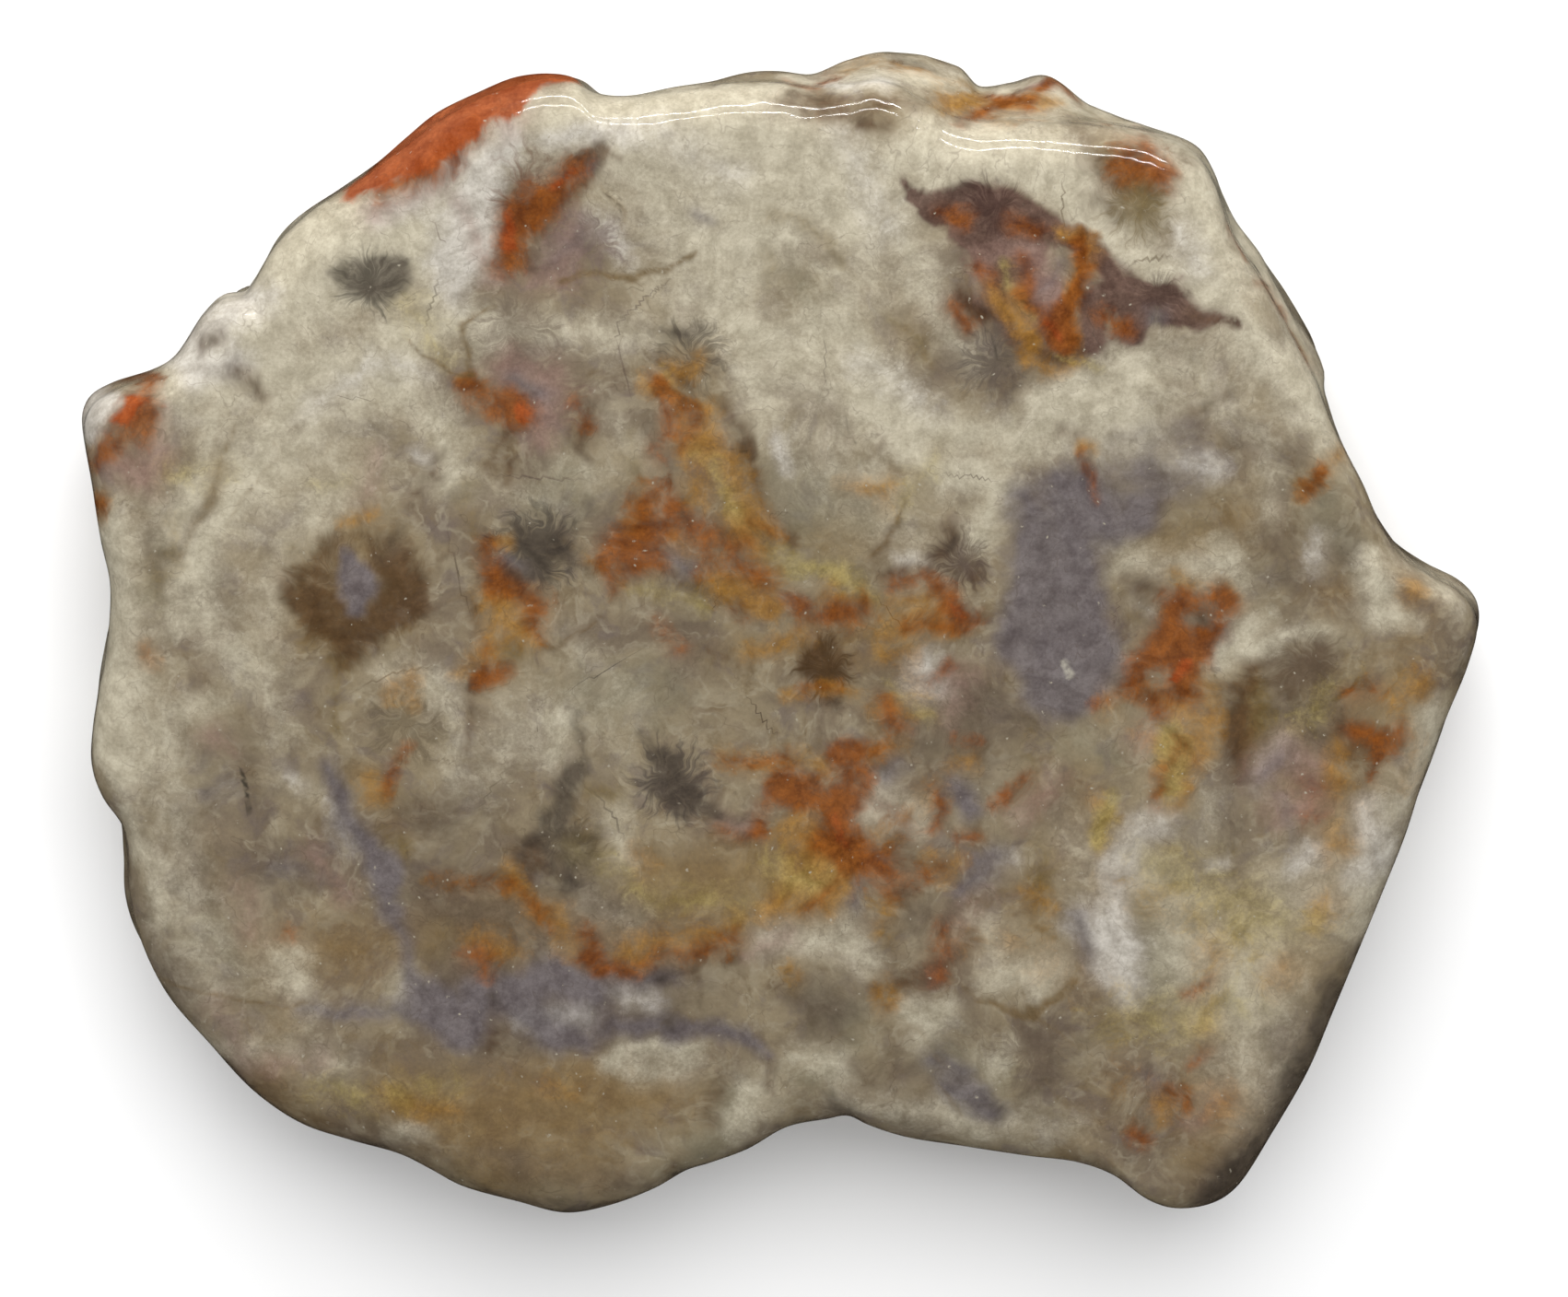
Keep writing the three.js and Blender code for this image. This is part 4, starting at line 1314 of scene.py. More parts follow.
        (1.6, 1, 27.3, -19.5, 0.7, 27, -22.8, 0.6, 27.5, -26, 0.9, 28.5, -28.5, 0.8),
        (2, 0.9, 24.5, -23.5, 1, 26, -25, 1.2, 28.5, -25.5, 1), (1.4, 0.8, 26, -27.5, 1, 27.5, -29.5, 0.9),
        (1, 0.9, 35, -18.5, 0.4, 36, -18.4, 0.3), (1.4, 0.8, 42, -18.7, 0.6, 43.3, -17.5, 0.6),
        (1.5, 0.7, 39, -11.3, 0.6, 40.8, -9, 0.7), (1.3, 0.8, 32.5, 14, 0.8, 35, 13.5, 0.8, 34, 14.6, 0.6),
        (1.3, 0.6, 43, 6, 0.9, 43.5, 8, 0.7), (1.5, 0.8, 47.5, -14, 0.9, 48.5, -18, 1.3, 47, -19, 1.2),
        (1.3, 0.7, 18, -18, 0.5, 19, -18.3, 0.4), (1, 0.6, 28.3, 3.2, 0.5, 29.5, 2.2, 0.4),
        (1.4, 0.7, -13.5, -29, 0.9, -10.5, -29.7, 0.6), (1.4, 0.8, -16.5, -31, 0.7, -21, -31, 0.8),
    ),
    Pigment.PINK: (
        (1.4, 1, 17.5, 31.3, 0.5, 20.5, 29.8, 1.1, 21.6, 27.6, 1.3, 20.8, 25.8, 0.9),
        (1.2, 0.8, 15.5, 30.5, 0.5, 16.8, 27.5, 0.8),
        (1.6, 0.8, -33, 33.8, 0.7, -28.7, 35.6, 0.7, -25.2, 39.6, 0.6, -20, 42, 0.5),
        (1.5, 0.8, -53.5, 13.5, 1.6, -51, 13, 1.6), (1.4, 0.7, -50, 14.5, 0.9, -50, 18, 0.6),
        (1.8, 0.9, -22, 21.5, 1.4, -19, 20.5, 1.6, -19.5, 16.5, 1),
        (1.4, 0.7, -23, 28.6, 0.6, -26, 34.8, 0.4), (1.6, 0.9, -18.2, 30.5, 0.8, -17, 33, 0.8),
        (1.6, 0.8, -20, 28.2, 0.8, -17.5, 29, 0.8), (1.5, 0.7, -46.5, -7.8, 0.8, -45, -9, 0.6),
        (1.3, 0.8, -4.8, -15, 0.5, -3, -15.5, 0.8), (1.8, 0.7, 13.5, -6.5, 0.9, 14.5, -3, 1),
        (2, 0.9, 40.5, -14.5, 1, 43, -14, 1.4, 43.5, -11, 1), (2, 0.8, 41, -9, 1.2, 39, -11.5, 1),
        (1.8, 0.7, 31, -6.8, 1, 29, -8.5, 1), (1.6, 0.8, 18.5, 44.7, 0.6, 21, 44.5, 0.6),
        (1.4, 0.6, -33, 14.5, 0.8, -33.5, 11.5, 1), (1.6, 0.7, 22, -11.5, 1, 19.5, -14.5, 1),
        (1.6, 0.6, 33.5, -40, 1.4, 36, -38, 1.4), (1.5, 0.6, -38, -17.5, 1, -35.5, -21, 1),
        (2, 0.5, -8, 8, 1.2, -9.3, 6.3, 0.8), (1.5, 0.7, 0.5, -24.5, 0.8, -2.5, -25.5, 0.6),
        (1.5, 0.6, 8, -13.5, 0.8, 10, -15.5, 0.8), (2, 0.6, -44, -21, 1, -43, -24, 1),
        (1.6, 0.6, 12.5, -27.5, 0.8, 16, -21.5, 0.8), (1.8, 0.6, -46, -31, 1.2, -43.5, -35, 1),
        (1.5, 0.6, -38, -34.5, 0.8, -41, -35, 0.8),
    ),
    Pigment.LAVENDER: (
        (1.8, 0.5, -18.5, 30.3, 0.9, -16.4, 32.4, 1.1), (1.2, 0.7, -18, 36.5, 0.6, -15.5, 37.4, 0.5),
        # The vein right of the middle and its fork
        (2.2, 1, 19.5, 11, 0.9, 20.5, 7.5, 1.8, 21, 2.5, 2.6, 21.5, -1, 2.8, 22, -4, 2.4),
        (2, 0.9, 22.5, 12.5, 1, 24, 9.5, 1.8, 23.5, 5, 1.6), (2, 0.9, 25, 2, 1.4, 26, -2, 1.6, 25, -4.5, 1.2),
        (2.2, 0.6, 24.5, 11.5, 1.2, 28, 10.5, 1.3, 31.5, 11.8, 0.8),
        (2.2, 0.5, 26.5, 13.3, 0.8, 29.5, 13, 0.9), (1.5, 0.8, 26.8, 8.3, 0.7, 29, 9.5, 0.8),
        (2.2, 0.5, 29.5, 14.5, 1, 32, 17, 0.8, 27, 16, 0.8), (2, 0.5, 33.8, 12, 0.7, 33.5, 16, 0.6),
        (1.8, 0.6, 18.5, 1, 1, 18.5, -1.5, 0.8),
        # Core of the brown halo, and the spots beside the rust
        (0.9, 1, -35, 6.5, 0.6, -34.4, 4.5, 1.7, -34.6, 2.5, 0.6),
        (1.3, 0.8, -22.3, 6.2, 0.5, -20.7, 5.6, 0.5), (1.4, 0.8, -8.4, 6.3, 0.7, -7.9, 5.5, 0.6),
        # Lower body, its arc and its left branch
        (1.8, 1, -29, -29.5, 1.2, -26, -31.5, 2, -25, -30, 1.4),
        (1.8, 1, -21.5, -28.5, 1, -18.5, -27.5, 1.4, -15.5, -29.5, 1),
        (1.8, 0.9, -21, -30.5, 1.2, -18.5, -32.5, 1.4, -16.3, -33.3, 1),
        (1.6, 0.9, -14, -32, 0.6, -10, -31.5, 0.9, -9.5, -32, 0.9),
        (1.3, 0.9, -8, -31.8, 0.4, -4.5, -32.1, 0.7, -2.5, -33, 0.6, -1, -34.3, 0.3),
        (1.6, 0.8, -13, -28.5, 0.6, -9, -27.9, 0.5),
        (1.4, 0.8, -39.5, -30.4, 0.2, -36, -30.7, 0.6, -32, -30.7, 0.5, -29.5, -30.5, 0.7),
        (1.4, 0.9, -37, -10.5, 0.5, -36, -12.6, 0.9, -35.5, -15, 0.7, -33.5, -17, 0.8, -32.3, -19.5, 0.9),
        (1.4, 0.9, -32.2, -19.5, 0.9, -31.9, -23, 0.6, -30.8, -24.5, 0.25, -30.4, -28, 0.25),
        # Small ones
        (1.5, 0.9, 14.2, -12.5, 0.9, 15.5, -14, 1), (1.5, 0.8, 6, -20, 0.6, 5.7, -22, 0.4),
        (1.6, 0.7, 16, -18.5, 1, 17.5, -18, 1, 15, -20.5, 0.8),
        (1.5, 1, 13.5, -36.8, 0.5, 15.8, -37.8, 1, 17.2, -39, 0.6),
        (1.5, 0.8, 12.2, -34.4, 0.5, 14.5, -35.5, 0.3), (1.8, 0.7, 24, -23, 0.8, 24.5, -25.5, 0.9),
        (1.2, 0.6, 22.3, 30, 0.4, 20.8, 27.8, 0.6), (1.6, 0.7, -19.5, 19.5, 1, -21.5, 20.5, 0.8),
        (1.6, 0.6, 40.5, -10, 0.8, 38.5, -12.5, 0.8), (1.6, 0.7, 8.5, -11.5, 0.8, 9.5, -10.5, 0.5),
        (1.6, 0.7, 30, -36, 0.8, 31, -38, 0.8), (1.4, 0.7, -7, 34.2, 0.5, -5.8, 33.4, 0.4),
        (1.4, 0.8, 29.6, 25.8, 0.6, 30.4, 25.4, 0.5), (1.5, 0.6, 41, -13.5, 0.5, 41.5, -17, 0.6),
        (1.5, 0.6, -41.5, -18.8, 0.9, -39, -19, 0.7), (1.5, 0.6, -46.5, -13, 1, -44.8, -11.8, 0.6),
    ),
    Pigment.OLIVE: (
        (2, 0.7, -49, 9, 0.6, -50.6, 4.6, 1),
        # Haloes
        (2.2, 0.9, -38, 6.8, 0.9, -39, 3, 1, -37.5, 0.5, 1, -35, -1, 0.9),
        (1.4, 0.8, -35.8, -2.5, 0.4, -36.4, -6, 0.25, -36.2, -8, 0.3),
        (2, 0.8, -16.3, -16.5, 0.9, -14.9, -16.9, 0.6), (1.8, 0.8, -15.3, -12.5, 0.5, -14, -13, 0.5),
        (1.6, 0.8, 31.5, 5, 0.3, 32.8, 4.2, 0.4), (1.6, 0.7, 26.8, 3.6, 0.5, 29.3, 2.8, 0.4, 28.3, 1.8, 0.3),
        (1.8, 1, 38.3, -4.5, 0.9, 38.6, -7, 1.3, 38, -8, 0.8), (2, 0.7, 13, 45, 0.6, 12.4, 43.5, 0.5),
        (1.8, 0.9, 26, 38.5, 0.6, 28.3, 36.5, 1.6, 29.4, 34.6, 1.3, 28.6, 33.2, 0.7),
        (1.5, 0.7, -0.8, 30.2, 0.5, -0.7, 28.4, 0.4),
        (1.2, 0.8, -0.5, 33.7, 0.3, 1, 33.5, 0.3, 3.8, 31.2, 0.3, 4.7, 30.3, 0.2),
        (1.4, 0.8, 9, 25.3, 0.2, 10.7, 24, 0.25, 11.7, 21.9, 0.4),
        (1.3, 0.6, -12.3, 16.5, 0.4, -11.8, 13.5, 0.6, -13, 14.5, 0.4),
        (1.4, 0.8, -25, 12, 0.5, -26, 11, 0.5, -24.5, 8, 0.3), (1.6, 0.7, -22.5, -1.2, 0.6, -21, -1.2, 0.5),
        (1.6, 0.6, -32, 0, 0.6, -30, 1.8, 0.5), (1.6, 0.6, -28, -24.5, 0.8, -27, -24, 0.8),
        (1.6, 0.7, -32, -17, 0.6, -31, -17.5, 0.4), (1.6, 0.7, 8, 12, 0.7, 9, 12.6, 0.5),
        (1.6, 0.7, 8.5, -24.5, 0.6, 8, -22, 0.6), (1.4, 0.6, 28, -20, 0.6, 30, -23.4, 0.4),
        (1.4, 0.7, 0.5, -27.5, 0.6, 1, -28.8, 0.5), (1.4, 0.7, 18.5, -3, 0.7, 17.8, -1.2, 0.4),
        (1.6, 0.7, 20, -1.5, 0.1, 21, -21.3, 0.6), (1.4, 0.7, 23.5, 41.5, 0.3, 29, 41.5, 0.3),
    ),
    Pigment.BROWN: (
        # Under the upper rim
        (1.6, 0.7, -0.5, 42.8, 0.4, 2.5, 42.3, 0.6, 6, 42.4, 0.4),
        (2.2, 0.7, 24.8, 37.8, 0.7, 26.3, 34.3, 0.8), (2, 0.8, 8.8, -15, 0.9, 9.5, -18, 0.9),
        # The halo on the left
        (1.6, 0.7, -37.8, 6.6, 0.6, -38.3, 3.5, 0.8, -36.5, 0.8, 1.2, -33.5, 0.6, 1.2, -31.3, 2.6, 1.2,
         -31.2, 6, 0.8), (1.4, 0.5, -36.5, 8, 0.5, -33, 8, 0.5),
        (1.8, 0.6, -39.5, 4.3, 0.7, -37.6, 5.6, 0.9, -37.5, 2.8, 1.1),
        (1.8, 0.8, -37, 1.5, 1.1, -35, -0.3, 1.2, -33.5, 0.7, 1.1),
        (1.8, 0.8, -32.5, 2, 1, -31, 3.5, 1.4, -30.9, 6, 0.9, -31.7, 7.3, 0.5),
        (1.4, 0.8, -29.5, 4, 0.7, -28.5, 5.5, 0.4, -27.4, 6.8, 0.2), (1.3, 0.8, -30, 1.9, 0.4, -28, 2.1, 0.2),
        (1.2, 0.8, -35, -1.5, 0.6, -35.5, -2.8, 0.3), (1.3, 0.7, -38.5, 1, 0.6, -40, 4, 0.5),
        # Top left
        (1.3, 0.9, -22, 30, 0.7, -19.8, 29.8, 0.8),
        (1.2, 0.9, -20, 33, 0.5, -18, 34.5, 0.7, -16, 36.3, 0.6, -14.5, 37.7, 0.4),
        (0.9, 0.9, -17, 37.8, 0.9, -15, 38.8, 0.6, -12.8, 38.4, 0.2),
        (1.4, 0.4, -21, 37.5, 0.5, -20.5, 35.5, 0.8), (1.3, 0.9, -45.5, 24.3, 0.5, -46.5, 23.6, 0.5),
        (1.3, 0.9, -44, 21.2, 0.6, -42, 19.5, 0.4),
        (1.5, 0.8, -31.6, 35.8, 0.6, -27.6, 38, 1.1, -24, 40.8, 0.7),
        (1.5, 0.7, -28, 13.3, 0.6, -27.8, 14.3, 0.4), (1.4, 0.8, -29.5, 11.3, 0.5, -30, 10.5, 0.4),
        (1.2, 0.9, -22.3, 15.8, 0.4, -21.3, 17, 0.5, -20.7, 18, 0.4),
        (1, 0.8, -23.3, 14, 0.15, -22.3, 15.8, 0.3), (1, 0.8, -22.8, 12, 0.15, -21.3, 14.5, 0.3),
        (1.5, 0.8, -16.3, 17, 0.6, -15.5, 18, 0.7, -14.8, 19, 0.4),
        (1.4, 0.7, -17, 15.3, 0.5, -15.8, 14.8, 0.5),
        # Top right edge
        (1, 0.9, 2, 41.8, 0.3, 4, 41.6, 0.4, 6.5, 41.2, 0.5, 8.5, 41, 0.3),
        (1, 0.9, 7, 42.8, 0.25, 9, 43, 0.3, 10.8, 42.4, 0.3), (1, 0.8, 1, 43.2, 0.25, 4.3, 43.2, 0.25),
        (1.2, 1, 16.8, 44.6, 0.4, 18.7, 43.8, 0.6, 19.8, 44.4, 0.5, 20.3, 45.2, 0.3),
        (1, 0.8, 9, 46.6, 0.4, 10.5, 46.3, 0.4), (1.2, 0.9, 26.8, 38.6, 0.6, 28.5, 38, 0.8),
        (1.2, 0.7, 31.3, 39.3, 0.4, 33, 37.9, 0.3), (1.3, 0.9, -52, 20.8, 0.5, -50.3, 21.8, 0.4),
        # Round the big patch
        (1, 1, 14.5, 27.7, 0.5, 15.5, 26, 0.5, 16.5, 25.3, 0.4),
        (1, 0.9, 33, 26, 0.4, 34.5, 25.3, 0.4, 35.8, 24.9, 0.2),
        (1, 1, 20, 22.8, 0.5, 22, 22.2, 0.5, 24, 22.5, 0.3), (1, 0.8, -9.5, 22.4, 0.3, -7.8, 21.3, 0.3),
        # Middle
        (1.4, 0.9, -7.5, 21, 0.3, -6.8, 19.2, 0.4, -6.9, 18, 0.3),
        (1.3, 0.9, -9, 12.3, 0.2, -8, 10.8, 0.5, -7.7, 9.2, 0.4),
        (1.1, 0.9, -4.4, 19, 0.2, -3.4, 17, 0.3, -2.9, 15.2, 0.4),
        (1.1, 0.9, -2.8, 14.8, 0.3, -2, 11.5, 0.4, -0.7, 9.3, 0.3, 0.4, 8, 0.4, 0.7, 6.5, 0.25),
        (1.3, 0.9, -11.5, 6.2, 0.4, -9.5, 5.2, 0.4, -7.5, 3.8, 0.3, -5.5, 3.3, 0.25),
        (1.1, 0.9, -5.3, 3.2, 0.25, -3.5, 2.7, 0.3, -3, 2, 0.25),
        (1.1, 1, 7.8, 4.9, 0.15, 9, 4.9, 0.25, 10.3, 5.3, 0.2, 11.3, 5.4, 0.4),
        (1.3, 0.9, 12.7, 6.7, 0.7, 13.7, 7.6, 0.7, 13.3, 8.7, 0.4), (1.2, 0.9, 15.6, 5, 0.4, 15.9, 4, 0.3),
        (1, 0.8, 7, 6, 0.15, 8.3, 7.3, 0.2, 9.2, 9.6, 0.2, 10.5, 11.5, 0.15),
        (1.2, 1, 2.3, -0.6, 0.3, 2.5, -1.8, 0.6), (1.2, 1, 3.8, 0, 0.2, 3.9, -1.2, 0.4),
        (1.5, 1, 2.7, -2.3, 0.8, 4, -2.2, 1, 3.9, -3.3, 0.9), (1.3, 0.9, 3.7, -4.9, 0.5, 4.4, -5.3, 0.4),
        (1.1, 0.9, -24.6, 2.2, 0.2, -24.3, -1, 0.25, -24.8, -4, 0.2),
        (1, 0.8, -24.9, -4.3, 0.3, -25.2, -7.5, 0.2, -25.8, -9.8, 0.1),
        (1, 0.8, -14.7, 1.7, 0.15, -15.8, 0.6, 0.2, -18.5, -0.7, 0.2, -19.6, -0.9, 0.2),
        (1.6, 0.8, -6, -1, 0.3, -4, -2.4, 0.3),
        # Lower middle
        (1.8, 0.8, -27, -19.8, 0.2, -23.5, -20.3, 0.3, -21.5, -20.8, 0.4),
        (1.6, 0.9, -19.5, -18.5, 1, -20.5, -17, 0.8),
        (1.5, 0.9, -23.8, -29.5, 0.4, -23.4, -31.5, 0.4, -23.5, -34, 0.3),
        (1.4, 0.9, -10, -28.2, 0.25, -9, -27.6, 0.3, -7.8, -27.3, 0.2),
        (1.6, 1, 8, -28.8, 0.4, 10.5, -27.9, 0.8, 12.5, -27, 0.7),
        (1.3, 0.9, 12.7, -27, 0.7, 14, -26, 0.5, 15.5, -25, 0.4),
        (1.4, 0.9, 8.5, -20.8, 0.5, 10.5, -20.3, 0.6, 11.5, -19.8, 0.3),
        (1.1, 0.8, -2, -23.8, 0.15, -3.5, -25.3, 0.3, -6, -26.7, 0.25),
        (1.5, 0.7, -6.5, -38.8, 0.7, -6, -40, 0.4), (1.2, 0.9, -9, -43, 0.4, -9.3, -43.6, 0.3),
        (1.2, 0.7, -4.7, -36, 0.5, -5.5, -37.5, 0.3),
        (1.1, 0.8, -1, -34.5, 0.25, -0.9, -36, 0.3, -0.3, -38, 0.15),
        (1.4, 0.7, 7.2, -36.3, 0.5, 6, -35, 0.3),
        # Right
        (1.8, 1, 37.7, -3, 0.5, 37.3, -5.5, 0.9, 37.3, -7.5, 1), (1.5, 0.9, 37, -9, 0.5, 37.4, -11, 0.4),
        (1.4, 1, 45.8, -7.8, 0.8, 48, -8.7, 1, 46, -9.5, 0.6), (1.3, 0.9, 49.5, -7.8, 0.4, 48.3, -11, 0.25),
        (1.5, 0.8, 47, -4.5, 0.8, 44.8, -5.3, 0.5), (1.2, 0.9, 29, -3.5, 0.4, 27.6, -3.6, 0.4),
        (1.4, 0.9, 33.3, 2.5, 0.4, 34.2, 1.3, 0.4, 33.8, 0.4, 0.3),
        (1.3, 0.9, 27.8, 4.3, 0.2, 29, 3.8, 0.4, 31.5, 3.7, 0.25), (1.2, 0.9, 26.7, 1.3, 0.4, 27.5, 0, 0.3),
        (1.2, 0.8, 24, 16.4, 0.2, 22.4, 16.6, 0.3),
        (1.2, 0.7, 32.6, 17.8, 0.2, 34.5, 18.6, 0.3, 36, 19.6, 0.3),
        (1.4, 0.8, 31.5, -37.3, 0.4, 32.8, -37.9, 0.4, 32.5, -39, 0.3),
        (1.3, 0.7, 34.3, -34.2, 0.4, 35.8, -33.3, 0.3), (1, 0.7, 23.5, -28.5, 0.25, 22, -30.3, 0.3),
    ),
    Pigment.OCHRE: (
        (1.6, 0.6, 8, -5.8, 1, 11.4, -4.4, 1.2),
        # Broad yellow-brown washes
        (3, 0.4, 27, -20, 1.5, 33, -22, 2, 40, -27, 1.5),
        (3, 0.4, 14, -25, 1.5, 20, -25.5, 1.5, 27, -30, 1.5), (3, 0.4, 47, -14, 1, 44, -22, 1.5),
        (3, 0.4, 28, -36, 1.5, 38, -39, 1.5), (2, 0.6, 29, -8, 0.5, 33, -9.5, 0.8, 31, -13, 0.5),
        (2.5, 0.5, 3, -20, 1.5, 12, -13, 1), (2.2, 0.7, -6, 17.5, 0.6, -6.5, 13, 0.8),
        (2.2, 0.8, -5, 4.5, 0.8, -1.5, 4.2, 0.8), (2.5, 0.7, 0, -17, 0.8, 1.5, -22, 1),
        (2, 0.7, 35, -26, 0.5, 34.5, -32, 0.6), (1.6, 0.7, 51.5, -8, 0.3, 50.5, -12, 0.3),
        (1.4, 0.9, 12.5, 43.5, 0.7, 16.5, 42.3, 1, 20, 43, 0.8),
        (1.4, 0.9, 16.8, 28, 0.4, 18.2, 25.7, 0.6, 20, 23.5, 0.5),
        (2, 0.6, -14.5, -24.5, 0.6, -11.5, -25.8, 0.5),
        # Top and upper middle
        (1.3, 0.9, -8.5, 21.8, 0.7, -7.2, 21.6, 0.7, -6.6, 22.5, 0.4),
        (1.5, 1, -10.5, 20, 0.6, -9.3, 20, 0.5), (1.5, 0.9, -6, 18.5, 0.5, -5.7, 16.5, 0.5),
        (1.4, 0.9, -6.9, 15.3, 0.5, -7.8, 15, 0.4), (1.5, 0.8, -7.4, 12.7, 0.5, -6.8, 11, 0.6),
        (1.8, 0.9, -4.2, 14, 0.5, -3.2, 12, 0.7, -3, 9.5, 1), (1.6, 0.9, -2, 9, 0.8, -1.3, 8.3, 0.6),
        (1.5, 0.9, -11, 11.5, 0.5, -12, 9, 0.8), (1, 1, -23, 7.6, 0.3, -21.9, 7.8, 0.3),
        (1, 1, -35.3, 9.2, 0.25, -34.3, 9.5, 0.3, -33, 9.9, 0.2),
        (1.2, 0.9, -56, 11, 0.6, -55.3, 10.6, 0.8, -55.6, 9.7, 0.5),
        (1, 0.8, -25.6, 20.8, 0.4, -24.4, 20, 0.5), (1, 0.9, 13.2, 44, 0.3, 12.6, 42.8, 0.3),
        (1, 0.7, 9.3, 46, 0.25, 12, 45.7, 0.25), (1, 0.7, 6, 46.7, 0.3, 8, 47, 0.3),
        (1, 0.9, 20.3, 42.3, 0.2, 22.8, 42.8, 0.2), (1, 0.9, 17.5, 27, 0.4, 18.2, 26, 0.4, 18.9, 24.9, 0.4),
        (0.9, 0.9, 19.7, 23.9, 0.3, 19.5, 22, 0.3),
        (1.1, 1, 22.5, 32.5, 0.4, 24.5, 31.8, 0.4, 24.7, 30.8, 0.4, 24, 29.3, 0.5, 23.4, 27.8, 0.5),
        (1, 1, 23.3, 27, 0.3, 23.6, 25.5, 0.25, 23.6, 23.7, 0.2),
        (1.1, 0.9, 20.5, 21.3, 0.3, 22.5, 21.3, 0.3, 24, 22, 0.3), (1, 0.8, 42, 25.7, 0.4, 43.2, 24.3, 0.4),
        # Middle
        (1.2, 1, -5, 3.7, 0.3, -3.5, 3.5, 0.5, -1.5, 2.9, 0.4), (1.3, 0.9, -2, 2.3, 0.3, -0.6, 2.1, 0.25),
        (1.4, 0.9, -8.8, 8.4, 0.3, -8, 7.3, 0.4), (1.4, 0.8, -15.5, 6.1, 0.4, -14.3, 5.8, 0.4),
        (1.5, 1, -23.5, 3.5, 0.8, -22, 1.5, 1, -20.7, 0.3, 0.8), (1.4, 0.9, -23.8, 0, 0.6, -23.7, -1.5, 0.6),
        (1.3, 0.8, -25, -1.8, 0.5, -26.5, -2.8, 0.3), (1.4, 0.9, -29.8, -3.3, 0.4, -29.9, -5.2, 0.3),
        (1.2, 0.8, -31.6, -3.8, 0.4, -32, -5, 0.3), (1.3, 0.7, -51, -1.2, 0.3, -51.3, -2.2, 0.4),
        (1.5, 0.9, 4.5, 4.3, 0.5, 3.5, 3.3, 0.4, 6.5, 2.9, 0.4), (1.5, 0.9, 9, 2.6, 0.5, 12.5, 2.7, 0.8),
        (1.4, 0.9, 8, 0.3, 0.3, 11, 1, 0.4, 13.5, 0.9, 0.4),
        (1.4, 0.9, 1.5, 0.2, 0.5, -1, -1, 0.6, -3, -1.5, 0.4), (1.4, 0.8, 8, -1.5, 0.5, 10, -1.2, 0.6),
        (1, 1, 0.2, -4.8, 0.15, 2, -4.5, 0.25, 3.5, -4.1, 0.3), (1, 1, 4, -4, 0.3, 5.7, -4.6, 0.3),
        (1.6, 0.8, 5, 12, 0.3, 8.4, 12, 0.7, 8.2, 10.8, 0.5), (0.9, 1, 24.2, 15.2, 0.4, 25, 15, 0.3),
        (1.3, 0.8, 31.8, 5.2, 0.3, 33, 4.5, 0.3), (1.3, 0.9, 45.5, 15, 0.5, 43.8, 13.3, 0.6, 42, 11.7, 0.6),
        # Lower left and lower middle
        (1.5, 0.9, -33.4, -11.5, 0.5, -33.2, -13, 0.5, -32.5, -12.8, 0.5),
        (1.6, 0.5, -28.5, -19.7, 0.2, -25.5, -20, 0.3), (1.5, 0.9, -22, -18.8, 0.3, -21.6, -20.5, 0.6),
        (1.8, 0.9, -20, -22.3, 0.8, -18, -23, 0.8, -17, -25, 0.8),
        (1.6, 0.8, -25, -24.5, 0.7, -23, -25, 0.7, -21.5, -25.8, 0.6),
        (2, 0.8, -12, -25.5, 0.6, -8, -24.8, 0.9, -3.5, -23.5, 0.8),
        (1.4, 0.9, -1, -22.3, 0.5, 0, -21.5, 0.5), (2, 0.9, -4.5, -10, 0.4, -2, -10.5, 0.5, 3, -10.6, 0.5),
        (2, 0.9, 2.5, -15.5, 1.2, 3, -19, 1.4, 3.7, -20.5, 0.9), (1.4, 0.9, 7, -9.2, 0.6, 10, -8.8, 0.4),
        (1.5, 0.8, 12.5, -18.6, 0.7, 13.3, -19.2, 0.6, 14, -18.3, 0.4),
        (1.4, 0.8, 14.2, -10.2, 0.4, 15, -10.1, 0.4), (1.6, 0.8, 8.5, -21.5, 0.6, 8, -23.5, 0.6),
        (1.5, 0.7, -12, -17.5, 0.5, -11, -18.8, 0.4), (1.3, 0.8, 8, -29.5, 0.3, 8.5, -30.5, 0.3),
        (1.4, 0.8, 8.5, -28.4, 0.4, 9.5, -29.4, 0.3), (1.5, 0.8, 0.8, -27.3, 0.6, 1.2, -28, 0.5),
        (1.5, 0.7, -33, -37.5, 0.5, -30, -38.7, 0.8, -27, -38.5, 0.6),
        (1.5, 0.6, -19.5, -36.5, 0.6, -17, -37.5, 0.6), (1.3, 0.8, 20, -20.7, 0.4, 21.5, -21.5, 0.4),
        # Right
        (1.5, 0.9, 31.5, -8.5, 0.5, 33.5, -8.2, 1, 34, -9.5, 0.9),
        (1.3, 0.9, 31.8, -9.5, 0.4, 32, -11.5, 0.6),
        (1.3, 0.9, 25.8, -13.2, 0.3, 26.7, -14.2, 0.4, 26.2, -15.5, 0.4, 26, -17, 0.4),
        (1.3, 0.8, 32.7, -12.5, 0.3, 32.2, -13.6, 0.3), (1.6, 0.8, 26, -6.2, 0.5, 26.5, -4.6, 0.5),
        (1.6, 0.9, 33.5, -3.7, 0.5, 34.7, -5, 0.6, 34.8, -7.3, 0.6), (1.4, 0.8, 35.5, 4, 0.5, 36.8, 3, 0.4),
        (1.5, 0.9, 29.7, -4.5, 0.5, 32, -5.5, 0.6), (1.3, 0.9, 45, -9.2, 0.4, 45.2, -11.5, 0.5),
